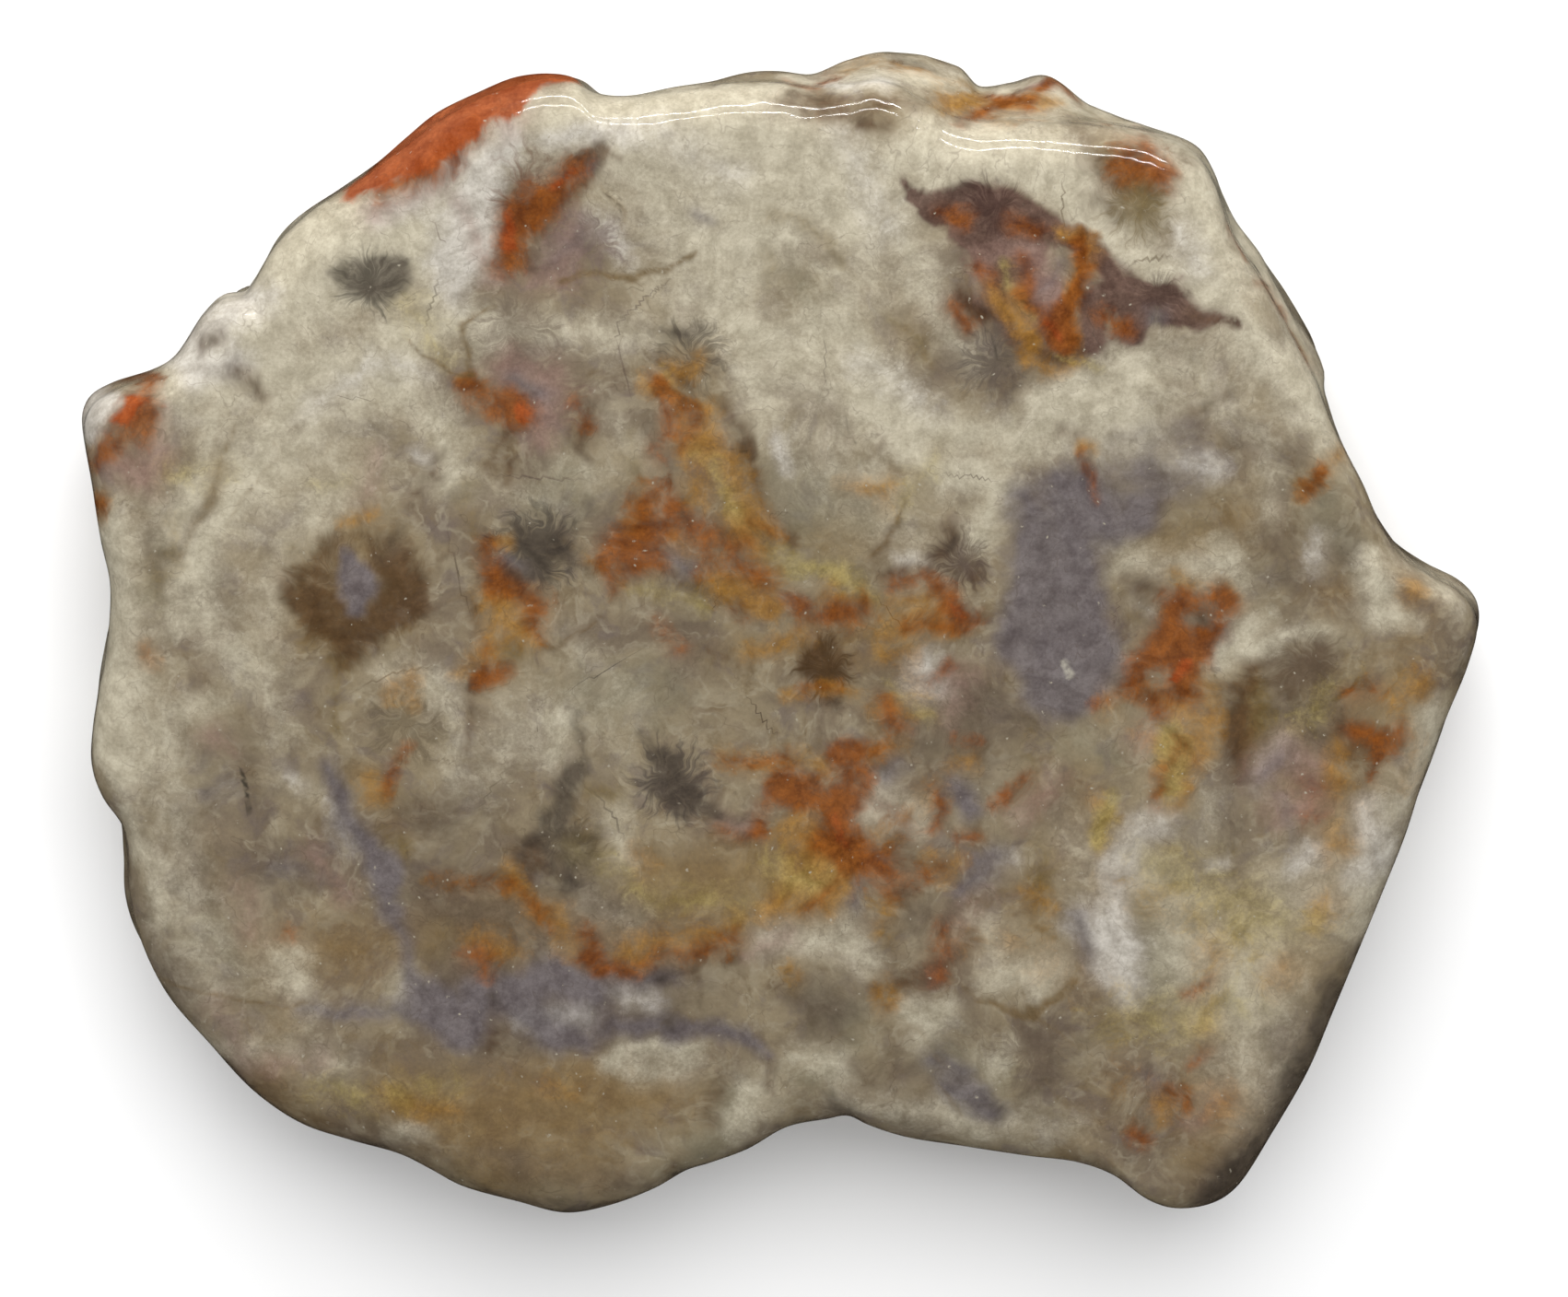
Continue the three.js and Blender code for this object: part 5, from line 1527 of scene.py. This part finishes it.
        (1.8, 0.8, 51.8, -3.5, 1, 50, -5, 0.9), (1.6, 0.6, 44.5, -21.5, 0.6, 43.5, -23.3, 0.6),
        (1.4, 0.7, 51, 4, 0.9, 50.5, 3, 0.6), (1.5, 0.6, 40, -28.2, 0.6, 41, -27, 0.6),
        (1.2, 0.8, 31, -38.2, 0.5, 31.3, -39.5, 0.4), (1.4, 0.6, 46, -16.5, 0.6, 44.6, -17, 0.5),
        (1.5, 0.6, 36.5, -37.5, 0.5, 36, -39, 0.5),
    ),
    Pigment.STRAW: (
        # The streak on the right and the pale hollow under it
        (0.9, 0.9, 31, -7.4, 0.9, 32, -9.6, 1.4, 31.2, -12.4, 1),
        (0.8, 0.9, 26.8, -12.8, 0.6, 25.8, -16.8, 0.8), (2.5, 0.5, 29.5, -18, 2.5, 34, -20, 3.5, 37, -24, 3),
        (2.5, 0.5, 39, -23, 2, 44, -23.5, 2), (2, 0.5, 27, -30.5, 2.5, 33, -31, 3, 38, -30, 2),
        (1.6, 0.5, 42, -7, 1.5, 45.5, -3.5, 1.5),
        # The middle and the spire above it
        (1, 0.8, 1.7, 5.8, 0.7, 4.5, 5.2, 1.1, 7.4, 3, 0.8),
        (0.8, 0.7, -9.2, 21.5, 0.4, -7.6, 17.6, 0.6, -7.2, 14.8, 0.5),
        (1.2, 0.7, -5.5, 13.5, 0.6, -2.6, 8.8, 0.8, 0.4, 5.4, 0.7), (1.4, 0.6, -12.5, 4.4, 0.8, -7, 2.6, 0.9),
        (1.6, 0.7, -1, -18.4, 1.2, 2.6, -20.6, 1.5, 4.6, -18.6, 1), (1.2, 0.5, 8.6, -4, 1, 12, -6, 1.2),
        (1.6, 0.5, -17, -17.5, 1.2, -10, -21.4, 1.4, -3, -21.8, 1.2),
        (1.4, 0.6, 12.6, 14.8, 1, 9.6, 10.6, 0.8),
        # Round the dark triangle and the upper left
        (0.7, 0.9, 17.6, 29.8, 0.4, 19, 27.6, 0.6, 20, 25.2, 0.5), (0.7, 0.7, 22, 22.6, 0.4, 25.4, 21.6, 0.4),
        (1.6, 0.5, -30, 26.4, 1.5, -27, 22.6, 1.4), (1.8, 0.5, -49, 13, 1.5, -45.5, 13.4, 1.5),
        (1.4, 0.5, -38, 12.4, 1, -34.6, 12.8, 0.9),
        (1.6, 0.5, -39, -36.5, 1.5, -33, -38, 1.6, -27, -36.6, 1.4),
    ),
    Pigment.RUST: (
        (1, 0.7, -9.6, 19.4, 0.6, -8.8, 16.4, 0.7, -10.6, 14.6, 0.6),
        (0.9, 1, 23.9, 31.5, 0.6, 24.2, 29, 0.7, 23.2, 26.5, 0.9, 22.5, 24, 0.9),
        (1, 0.9, 13.5, 26.5, 0.6, 15, 25, 0.6), (1, 0.9, 18, 33.2, 0.5, 20.5, 32.3, 0.5),
        # Left tab
        (1.1, 0.8, -50.6, 21, 0.5, -51.6, 18.6, 1.1, -53.6, 15.8, 0.8, -55, 14, 0.5),
        (1.1, 0.9, -51, 17.5, 0.5, -51.5, 15.5, 0.5), (0.8, 0.8, -56.8, 19, 0.4, -54.8, 20.6, 0.4),
        (1.2, 0.6, -56, 14.4, 0.5, -54.5, 14.4, 0.5), (0.9, 0.9, -56.3, 10.8, 0.6, -55.3, 10.5, 0.7),
        # Upper left
        (1.5, 1, -22, 30.3, 1.1, -21.2, 33, 1.3, -19, 35.4, 1.3, -16.8, 37.2, 1),
        (1.8, 0.9, -32.5, 35.4, 0.5, -28.5, 37.6, 1.2, -24.5, 41, 0.9),
        (1.6, 1, -25, 20, 0.8, -22.8, 18.8, 0.8, -20.9, 17.9, 0.8),
        (1.4, 0.8, -24, 17.8, 0.5, -21.5, 18, 0.7), (1.4, 0.8, -16.5, 19, 0.4, -16.2, 17.5, 0.5),
        # Top right edge
        (1, 1, 3.8, 45.5, 0.3, 5, 46.1, 0.3), (1, 0.9, 1.4, 45, 0.4, 2.9, 44.2, 0.3),
        (1.1, 1, 14.2, 44, 0.6, 15.5, 42.6, 0.9, 14.3, 41.8, 0.5), (1.1, 1, 16.5, 43.3, 0.6, 18.6, 42.4, 0.7),
        (0.9, 1, 19.8, 44.2, 0.4, 21.2, 44.8, 0.4), (1, 1, 20.9, 46, 0.4, 22.5, 45.1, 0.4, 25.2, 43.2, 0.3),
        (1.8, 0.6, 27, 40, 0.7, 29.5, 39, 1.3, 30.2, 37.2, 1.2, 27, 36.8, 0.8),
        (1.1, 0.9, 29.6, 38.2, 0.5, 31, 37.2, 0.5), (1.1, 0.9, 26.8, 37.8, 0.5, 27.8, 37.2, 0.6),
        (1, 0.8, 39, 29, 0.4, 41, 27, 0.5), (0.9, 0.8, 36.5, 33, 0.25, 37.3, 31, 0.25),
        (0.9, 0.8, 42, 25.5, 0.3, 43.4, 23, 0.4),
        # The big patch
        (1.1, 1, 19, 27.7, 0.5, 20, 26, 0.6, 21.5, 24.7, 0.7, 23, 23.9, 0.6),
        (1, 1, 22.3, 26, 0.5, 22.7, 25.2, 0.5), (1, 0.9, 15.5, 29.7, 0.4, 17, 28.8, 0.4),
        (1, 0.9, 12.5, 34.3, 0.3, 14.3, 33.5, 0.6), (1, 0.9, 18.7, 30.3, 0.3, 19.8, 28.8, 0.3, 20, 27.8, 0.3),
        (1, 1, 26, 25.6, 0.6, 27.5, 24.8, 0.6),
        # Upper middle triangle
        (1, 0.9, -9.5, 20.6, 0.5, -8.3, 19.4, 0.4, -7.6, 18.2, 0.3),
        (1.3, 1, -6.7, 17.8, 0.5, -7.3, 16.7, 0.5, -7.6, 15.6, 0.3),
        (1.8, 1, -9.8, 12, 0.4, -11.5, 10, 1, -11, 8, 1.4, -12.5, 7.8, 1),
        (1.5, 1, -13.5, 7, 0.7, -12.3, 6.2, 0.9, -10.5, 5.8, 0.6),
        (1.3, 0.9, -14.3, 5.8, 0.4, -13.7, 4.6, 0.5, -13.5, 3.6, 0.3),
        (1.3, 0.9, -9.5, 8.8, 0.5, -9, 10.2, 0.4, -7.7, 8.5, 0.6),
        (1.8, 0.9, -3.7, 7, 0.6, -3.2, 5.7, 0.8, -1.7, 4.9, 0.8), (1.5, 0.8, -6, 5.5, 0.9, -5.8, 8.5, 0.8),
        (1.5, 0.8, -1.3, 8.2, 0.6, -2.5, 9.2, 0.6), (1.2, 1, 0.7, 3.1, 0.3, 1.1, 2.8, 0.3),
        (1.5, 1, 2, 1.6, 0.6, 4.2, 1.8, 0.7, 6.8, 2, 0.5), (1.2, 0.8, -3.7, 2.2, 0.3, -3, 1.6, 0.3),
        (1.3, 0.8, -10.3, 0.8, 0.3, -8.8, -0.9, 0.4, -7.7, -1.3, 0.3),
        # Left of the middle
        (1.5, 1, -23.9, 7.7, 0.4, -23.5, 6, 0.5, -23, 4.5, 0.8),
        (1.5, 1, -22.8, 4.3, 0.7, -21.5, 3.8, 0.6, -19.8, 2.3, 0.7, -19.9, 0.5, 0.5),
        (1.2, 1, -24.5, -3.7, 0.3, -23, -3.2, 0.4, -22.2, -2.7, 0.3),
        (1.3, 0.8, -24.3, -1, 0.4, -24.6, -2.6, 0.3),
        (1.1, 1, -30.3, -9, 0.15, -31.3, -10.8, 0.3, -32.1, -12.6, 0.2),
        (1.1, 0.7, -50.9, -1, 0.3, -51.4, -2.4, 0.3), (1.3, 0.8, -40.3, -24.2, 0.5, -39.9, -24.4, 0.4),
        # Right of the middle
        (1.5, 1, 13.2, 2.8, 0.6, 14.3, 1.8, 0.7, 15.3, 1.6, 0.3),
        (1.3, 1, 9, 4.2, 0.3, 11.5, 4.6, 0.4, 13.5, 3.3, 0.4), (1.2, 1, 10, 0.9, 0.2, 14, 1.1, 0.3),
        (1.1, 0.9, 12.2, -3.4, 0.3, 13.7, -2.6, 0.25), (1.2, 0.8, 6.3, 3.9, 0.2, 6.5, 3, 0.3),
        (1.1, 0.9, 2, -4.2, 0.3, 4.6, -4, 0.25), (1.4, 1, 8.5, -5.5, 0.5, 9.1, -6.3, 0.5, 10, -7.3, 0.4),
        (0.9, 1, 24.1, 14.5, 0.25, 24.5, 13.2, 0.3, 24.9, 12, 0.2, 25.1, 11, 0.1),
        (1.2, 1, 43.5, 13.2, 0.5, 42.4, 11.8, 0.5),
        # The patch on the right
        (1.6, 1, 31.5, 2, 0.8, 31, 0, 1.2, 32.7, -1.3, 1.4), (1.6, 1, 32.5, -1.5, 1.5, 32, -3.3, 0.9),
        (1.4, 1, 29.8, -1.5, 0.6, 28.5, -2.3, 0.7, 28.2, -3.8, 0.6),
        (1.3, 1, 32, 2.8, 0.5, 33.8, 3.5, 0.4, 35, 3.6, 0.6, 36, 2.9, 0.5),
        (1.2, 1, 35.7, 2.5, 0.5, 35.4, 0.5, 0.4, 34.5, -0.4, 0.3), (1.4, 1, 30, -5, 0.7, 30.2, -6, 0.5),
        (1.1, 0.9, 25.2, -5.6, 0.3, 26.7, -4.9, 0.3), (1.2, 0.9, 32.3, -4.4, 0.5, 33.5, -5, 0.4),
        (1.2, 1, 31.7, -10.3, 0.3, 30.6, -11.5, 0.4, 30.4, -13.5, 0.3),
        (1.1, 0.9, 33.4, -10, 0.2, 31.7, -8.2, 0.2),
        # Right tip
        (1.5, 1, 46.5, -8, 0.6, 48.5, -8.5, 0.7, 50, -7.6, 0.4),
        (1.1, 0.9, 48.9, -9.5, 0.25, 48.4, -11.5, 0.2), (1.5, 0.8, 46, -4.8, 0.5, 48, -4.3, 0.6),
        (1.6, 0.6, 43.3, -12.4, 0.8, 43.2, -15, 0.7),
        # Lower middle: the big cross with its arms
        (1.6, 1, 5, -9.5, 0.6, 6.5, -9.2, 0.5, 8.5, -9, 0.3),
        (1.5, 1, 4.8, -9.8, 0.5, 4.9, -12, 0.7, 5, -14.5, 0.8, 4.8, -16, 0.9),
        (1.5, 1, 6.5, -12, 0.6, 5.8, -13.2, 0.5), (1.6, 1, 0.6, -12.2, 0.7, 2.6, -13.3, 1, 4.3, -13.5, 0.8),
        (1.5, 0.9, 0.2, -11.9, 0.5, 1.5, -12.7, 0.7),
        (1.6, 1, 5, -16.5, 0.9, 6.5, -17.8, 1.2, 8.5, -18.8, 1, 9.8, -19.6, 0.6),
        (1.6, 0.9, 4.8, -18.5, 0.8, 3, -17, 0.8), (1.4, 0.9, 3.7, -20.7, 0.4, 2.3, -22.2, 0.5),
        (1.3, 0.8, 8.2, -20.5, 0.4, 8.7, -21.3, 0.3), (1.2, 0.8, -1.9, -15, 0.3, -1.7, -16, 0.3),
        (1.2, 0.9, -5, -15.9, 0.2, -3.3, -16.6, 0.2, -2, -16, 0.2),
        (1.4, 0.8, -1.5, -13.8, 0.3, -0.5, -12.5, 0.3),
        (1.2, 0.9, -4.5, -10.3, 0.25, -2.5, -10.4, 0.3, 0.3, -9.8, 0.25),
        (1.1, 0.9, 12.3, -12.8, 0.25, 12.7, -14.2, 0.3, 12.6, -15.3, 0.3, 11.8, -15.9, 0.15),
        (1, 1, 19.5, -11.5, 0.3, 18.4, -13, 0.3, 17.4, -13.9, 0.15),
        (1, 1, 14.4, -16.2, 0.15, 16.2, -16.5, 0.2), (1.2, 0.8, 14, -8.5, 0.2, 15.7, -8.6, 0.2),
        (1.2, 0.8, 11.3, -19.5, 0.4, 12.7, -18.8, 0.4),
        # Lower left: the long line
        (1.4, 0.6, -28, -19.7, 0.1, -25, -20, 0.2, -23, -20.3, 0.1),
        (1.2, 0.8, -21.9, -20.2, 0.1, -20.8, -21.5, 0.3, -19.5, -22.6, 0.4, -18.8, -23.7, 0.1),
        (1.3, 1, -16, -24, 0.5, -15.3, -25.2, 0.5, -15.5, -26.3, 0.5),
        (1.3, 1, -15.5, -26.5, 0.5, -14.6, -27.4, 0.6, -13, -27.5, 0.5),
        (1.4, 0.8, -12, -27, 0.2, -10, -26.4, 0.5, -8.8, -25.7, 0.4),
        (1.4, 0.8, -7.5, -26, 0.2, -5.5, -25.2, 0.5, -3.8, -24.3, 0.2),
        (1.5, 0.9, -25.5, -26.3, 0.6, -24.3, -25.7, 0.7, -24.2, -27.5, 0.4),
        # Lower right
        (1.3, 0.9, 13, -23.7, 0.4, 12.6, -24.5, 0.3), (1.2, 0.9, 13.2, -26, 0.3, 12.8, -27.4, 0.5),
        (1, 1, 32.8, -29.2, 0.2, 33.6, -29, 0.25, 34.6, -28.3, 0.2),
        (1.1, 1, 33.2, -34.7, 0.2, 34, -34.2, 0.3, 34.6, -33.9, 0.2),
        (1.2, 1, 28.7, -40.3, 0.4, 29.7, -41.2, 0.5), (1.1, 0.9, 31.7, -37, 0.3, 33, -37.8, 0.3),
    ),
    Pigment.JASPER: (
        (1.5, 0.8, -25.6, 41.2, 0.7, -21.5, 43, 0.8),
        (1.2, 1, -34.6, 36.2, 0.8, -32, 37.7, 1.6, -28.8, 39.8, 2.2, -24.5, 42.6, 1.6, -20.5, 44.6, 0.9,
         -17.3, 45.4, 0.4), (0.8, 0.9, -52, 19, 0.6, -53.3, 17, 0.4),
        (0.9, 0.9, -22, 31.3, 0.4, -21.8, 33.3, 0.4), (0.8, 0.8, -18.5, 36.2, 0.3, -17, 37.3, 0.3),
        (0.9, 0.9, -21, 18.1, 0.4, -20.5, 17.8, 0.4), (0.8, 0.7, 21, 25.2, 0.3, 22.3, 24.4, 0.3),
        (0.8, 0.8, 32.5, -2, 0.6, 31.5, -3, 0.4), (0.9, 0.7, 4.7, -14.5, 0.4, 4.8, -16.5, 0.4),
        (0.9, 0.7, 13.5, 3.2, 0.2, 14.3, 1.8, 0.3),
    ),
    Pigment.PLUM: (
        # The big patch on the upper right, with its spiky upper edge and its tail
        (1.2, 0.9, 15.5, 32, 1.5, 18, 29, 1.8, 21, 26.5, 1.8), (1, 0.9, 20.5, 25, 1, 22.5, 24.5, 1.2),
        (1, 1, 13, 34.9, 0.7, 15.5, 34.6, 1.3, 18, 34.2, 1.5, 21, 33, 1.2, 24, 31.8, 0.8),
        (0.8, 1, 11, 35.5, 0.3, 12.5, 34.5, 0.9), (0.7, 1, 9.4, 36.8, 0.15, 10.2, 35.3, 0.3, 12, 33.8, 0.5),
        (0.9, 1, 14, 33, 0.6, 16, 32.5, 1, 18, 31.8, 1, 20, 31, 0.9),
        (1, 1, 17.5, 30.8, 0.7, 19.5, 29, 0.7, 20.5, 27.8, 0.5),
        (0.9, 0.9, 17, 27, 0.3, 18, 25, 0.3, 19, 23.5, 0.3),
        (1, 1, 25, 30.5, 0.8, 26.7, 28.7, 1, 29, 27.6, 0.8),
        (0.9, 1, 28.5, 28, 0.7, 32, 26.5, 0.8, 34.5, 25.5, 0.5, 36.3, 24.9, 0.2),
        (1, 1, 25, 26.5, 0.9, 25.3, 23.8, 0.8), (0.9, 1, 28, 24.4, 0.9, 28.5, 25.8, 0.9, 27, 27, 0.9),
        (0.8, 0.9, 31.8, 28.8, 0.15, 31, 27.6, 0.4), (0.9, 0.9, 31, 25.4, 0.5, 33.5, 24.9, 0.4),
        (0.9, 0.9, 20, 22.8, 0.4, 22.5, 22.4, 0.5, 24.5, 23, 0.4),
        (1, 0.8, 14.3, 27.5, 0.5, 16, 26, 0.5, 18, 24, 0.3),
    ),
    Pigment.DARK: (
        # The lower right rim: painted shade, where it turns away from the light
        (1.3, 1, 45.3, -29, 0.2, 43.4, -34, 0.5, 41.4, -39, 0.6, 39, -43.2, 0.8, 37, -46.5, 0.9),
        # The grey wedge on the upper left
        (1.2, 1, -35.3, 28.6, 0.7, -33, 28.3, 1, -30.8, 28.9, 0.9),
        (0.9, 0.8, -36.3, 29.3, 0.3, -31, 30.2, 0.4),
        # Small feathered ones
        (1.1, 0.9, -10, 24.3, 0.3, -7.5, 24.2, 0.5, -6.2, 24.8, 0.3),
        (1.4, 1, -21.2, 8.7, 0.4, -20.2, 7.6, 0.7, -19.4, 6.2, 0.7),
        (1.1, 1, -22, 5.4, 0.3, -20.3, 5.2, 0.5, -19.4, 4.6, 0.3),
        (1.4, 0.8, -18.5, 7, 0.6, -17, 6.2, 0.5, -15.8, 5.3, 0.4),
        (1, 0.8, -19, 7.6, 0.3, -16.4, 9.4, 0.25, -15.5, 11, 0.15),
        (1.5, 0.7, -31.6, 7, 0.5, -30.8, 8.7, 0.3),
        # The feather and the star
        (1.1, 1, -16.5, -6.6, 0.1, -16.3, -9, 0.3, -16.8, -11, 0.5),
        (1.3, 1, -16.8, -11, 0.5, -18, -13, 0.9, -18, -15, 0.7),
        (1.3, 0.9, -19.5, -14.6, 0.5, -19, -17, 0.6, -18.2, -19.5, 0.5, -17.6, -20.6, 0.4),
        (1.1, 0.9, -19.2, -14.5, 0.3, -20.7, -16.8, 0.4, -21.4, -18, 0.2),
        (1.6, 0.8, -16.5, -17, 0.7, -15, -16.6, 0.4), (1.5, 0.7, -17.2, -20.5, 0.5, -16, -19, 0.5),
        (1.6, 1, -9.5, -11, 1, -8.5, -12, 1.1), (1.3, 1, -9.3, -10.7, 0.5, -8.7, -12.9, 0.8),
        (0.7, 1, -11.5, -7.6, 0.12, -10.7, -8.8, 0.25, -9.7, -10.3, 0.3),
        (1.1, 1, -8, -13, 0.5, -6.5, -13.6, 0.3, -5.7, -13.8, 0.2),
        (0.9, 0.9, -5.8, -14.2, 0.2, -4.3, -14.8, 0.12, -2.8, -14.7, 0.1),
        (0.8, 0.9, -8.6, -13.2, 0.3, -7.9, -15.3, 0.12), (1, 0.8, -11.5, -12.5, 0.1, -10.2, -12.5, 0.4),
        # Elsewhere
        (0.9, 1, 13.3, 7.2, 0.3, 13.8, 7.5, 0.3), (1, 0.8, 4, -4.8, 0.3, 4.4, -5.6, 0.15),
        (1, 0.8, 45.5, -6, 0.1, 46, -8.7, 0.3), (1, 0.8, 8.7, -20.8, 0.3, 10.9, -20.3, 0.25),
        (0.9, 0.7, 28, 4.3, 0.15, 30, 3.7, 0.15), (1, 0.8, -23.6, -29.7, 0.25, -23.3, -31.5, 0.25),
        (1, 0.9, -9.6, -31.3, 0.6, -9.2, -31, 0.4), (1, 0.9, -10, -28.2, 0.15, -8.8, -27.5, 0.2),
        (1.5, 0.7, 16, -38.2, 0.4, 17.8, -38.6, 0.3),
        # Painted shade along the lower edges, where the stone turns away from the light
        (1.6, 0.8, -50.5, -29.5, 0.3, -45.5, -36.5, 0.4, -40, -41, 0.5, -33, -43.3, 0.5, -28, -46, 0.5, -20,
         -48, 0.5, -12, -47, 0.5, -8, -45.3, 0.5, -2, -43, 0.4, 3, -40.5, 0.3),
        (1.5, 1, 40, -43.5, 1, 37.5, -46, 1.2, 35, -47.6, 0.8),
        (2.2, 1, 47.3, -26, 0.3, 46.2, -29.5, 1, 44.8, -33.5, 1, 43.3, -36.5, 0.7),
        (2.6, 0.9, 43, -37.5, 0.8, 40.7, -41.3, 1.2, 38.8, -44, 1.5, 37.3, -46, 1.6),
        (1.6, 1, 38.7, -44.3, 0.9, 37.3, -45.6, 0.7), (1.3, 0.8, 36.5, -47.3, 0.6, 34, -47.8, 0.4),
        (1.6, 0.9, 56.8, 2.5, 0.5, 57, 0, 0.6, 55.8, -3, 0.4),
        (1.3, 0.9, 6.5, -40.2, 0.3, 5.2, -38.9, 0.4, 4.2, -38.2, 0.3),
        (1.3, 0.9, 3, -40.4, 0.3, 0, -41, 0.5, -3, -43, 0.5), (1.3, 0.9, -6.5, -44.3, 0.5, -8.5, -44.5, 0.4),
        (1.5, 0.8, -16, -47.6, 0.5, -19, -47.4, 0.6), (1.2, 0.9, -34, -41.8, 0.5, -33.2, -41.7, 0.4),
        (1.4, 0.7, 12, -41.8, 0.4, 14, -42.2, 0.4), (1.4, 0.7, -40, -40, 0.3, -42.5, -38.7, 0.3),
        (1.4, 0.7, -27.5, -45.4, 0.3, -24, -46.5, 0.4), (1.3, 0.7, -45.5, -35.5, 0.3, -44, -37, 0.3),
    ),
    Pigment.CRACK: (
        # Thin dark lines
        (0.5, 1, -43.9, -10.7, 0.1, -43.6, -12.2, 0.14, -43.4, -13.6, 0.14, -43.3, -14.3, 0.05),
        (0.6, 0.7, 4.2, 19.3, 0.05, 5, 17.3, 0.12, 5.5, 16.2, 0.12, 6, 15.4, 0.06),
        (0.5, 0.7, -6, 14.9, 0.05, -3, 14.8, 0.1), (0.5, 0.8, 24.9, -31.2, 0.08, 24.8, -34.1, 0.08),
        (0.5, 0.8, 16.5, 24.5, 0.08, 17.5, 22.5, 0.08, 18.5, 21.5, 0.06),
        (0.5, 0.9, 36.9, 33.5, 0.1, 38.2, 31, 0.12, 39.6, 28.8, 0.14, 39.8, 27.8, 0.1),
        (0.5, 0.7, -14.5, 35.7, 0.06, -13.1, 34, 0.08, -13.7, 32, 0.08, -14.2, 31.2, 0.06),
        (0.5, 0.7, -25, -4, 0.08, -25.1, -7.8, 0.06), (0.5, 0.7, -24.6, 3, 0.08, -24.4, 0, 0.08),
    ),
    Pigment.THREAD: (
        # The edges of the pale pieces on the lower right
        (0.8, 0.7, 15, -24.2, 0.1, 18.8, -22.4, 0.14, 23.4, -25.4, 0.14, 23.6, -29.2, 0.18, 20.6, -31.2,
         0.14, 16.2, -29.6, 0.14, 13.8, -27.6, 0.1), (0.7, 0.7, 20.4, -31, 0.14, 18.8, -27, 0.08),
        (0.7, 0.7, 20.4, -31, 0.14, 22.4, -28, 0.08), (0.7, 0.7, 20.6, -31, 0.14, 24.6, -34, 0.1),
        (0.8, 0.6, 21.5, -36.5, 0.1, 23.4, -38.6, 0.14, 22.4, -40.4, 0.1),
        (0.8, 0.6, 27, -14, 0.1, 30.5, -17, 0.14, 36, -18, 0.14, 39.5, -16, 0.1),
        (0.7, 0.6, 3, -33.5, 0.1, 7, -31.4, 0.14, 11, -32, 0.14, 13.4, -35.4, 0.1),
        (0.8, 0.7, -44.2, 17, 0.15, -45.6, 13, 0.4, -47.8, 8, 0.3, -49, 6, 0.2),
        (0.7, 0.6, -40.4, 16.4, 0.1, -41.5, 13.5, 0.25, -44.6, 9.2, 0.2),
        (0.6, 0.7, -14.5, 36, 0.1, -12.8, 33.6, 0.14, -13.6, 31.6, 0.14, -15, 31, 0.1),
        # Thin brown lines
        (0.5, 1, -18, 28.7, 0.12, -15.5, 29.3, 0.12, -12, 28.9, 0.14, -9.5, 29.4, 0.14, -8, 30.6, 0.14, -7.2,
         30.9, 0.1),
        (0.5, 0.9, -23, 26.3, 0.1, -24.8, 25.6, 0.16, -25.8, 25, 0.2, -25.6, 24, 0.14, -24.8, 21.2, 0.1),
        (0.5, 0.9, -30, 23.5, 0.1, -29, 22.4, 0.1, -26.5, 21.4, 0.14, -25, 21, 0.12),
        (0.5, 0.8, -51, -28.3, 0.1, -49, -28.9, 0.14, -46, -29.7, 0.14, -42, -30, 0.1, -38, -30.1, 0.1),
        (0.5, 0.8, 7, 6.1, 0.06, 8.3, 7.3, 0.1, 9.2, 9.6, 0.1, 10, 10.8, 0.06),
        (0.5, 0.7, -36.1, -3, 0.1, -36.6, -6, 0.1, -35.9, -8, 0.12),
        (0.5, 0.8, -14.7, 1.7, 0.06, -15.8, 0.6, 0.1, -18.2, -0.6, 0.1, -19.6, -0.9, 0.1),
        (0.5, 0.7, -24, -41.6, 0.1, -27.5, -41.6, 0.08),
        (0.5, 0.8, 15.9, -30, 0.1, 19.8, -31.4, 0.12, 17.5, -30.6, 0.1),
        (0.5, 0.8, 23.6, -28.2, 0.14, 21.5, -30.6, 0.16),
        (0.5, 0.7, 12.8, -36.5, 0.08, 15.5, -39.8, 0.08, 17.5, -39.4, 0.06),
    ),
    Pigment.FROST: (
        # The pale fleck to the right of the middle
        (0.8, 1, 22.7, -2, 0.25, 23.1, -3.3, 0.3),
    ),
}


def main() -> None:
    """Builds the slice, its finish and the studio in order."""
    logging.basicConfig(level=logging.INFO, format="%(message)s")
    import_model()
    stone = CoproliteSlice()
    piece = stone.build()
    stone.paint(piece)
    piece.data.materials.append(StoneFinish().material())
    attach(piece, "root")
    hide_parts(NODE)
    Studio().build(stone.shift)


if __name__ == "__main__":
    main()
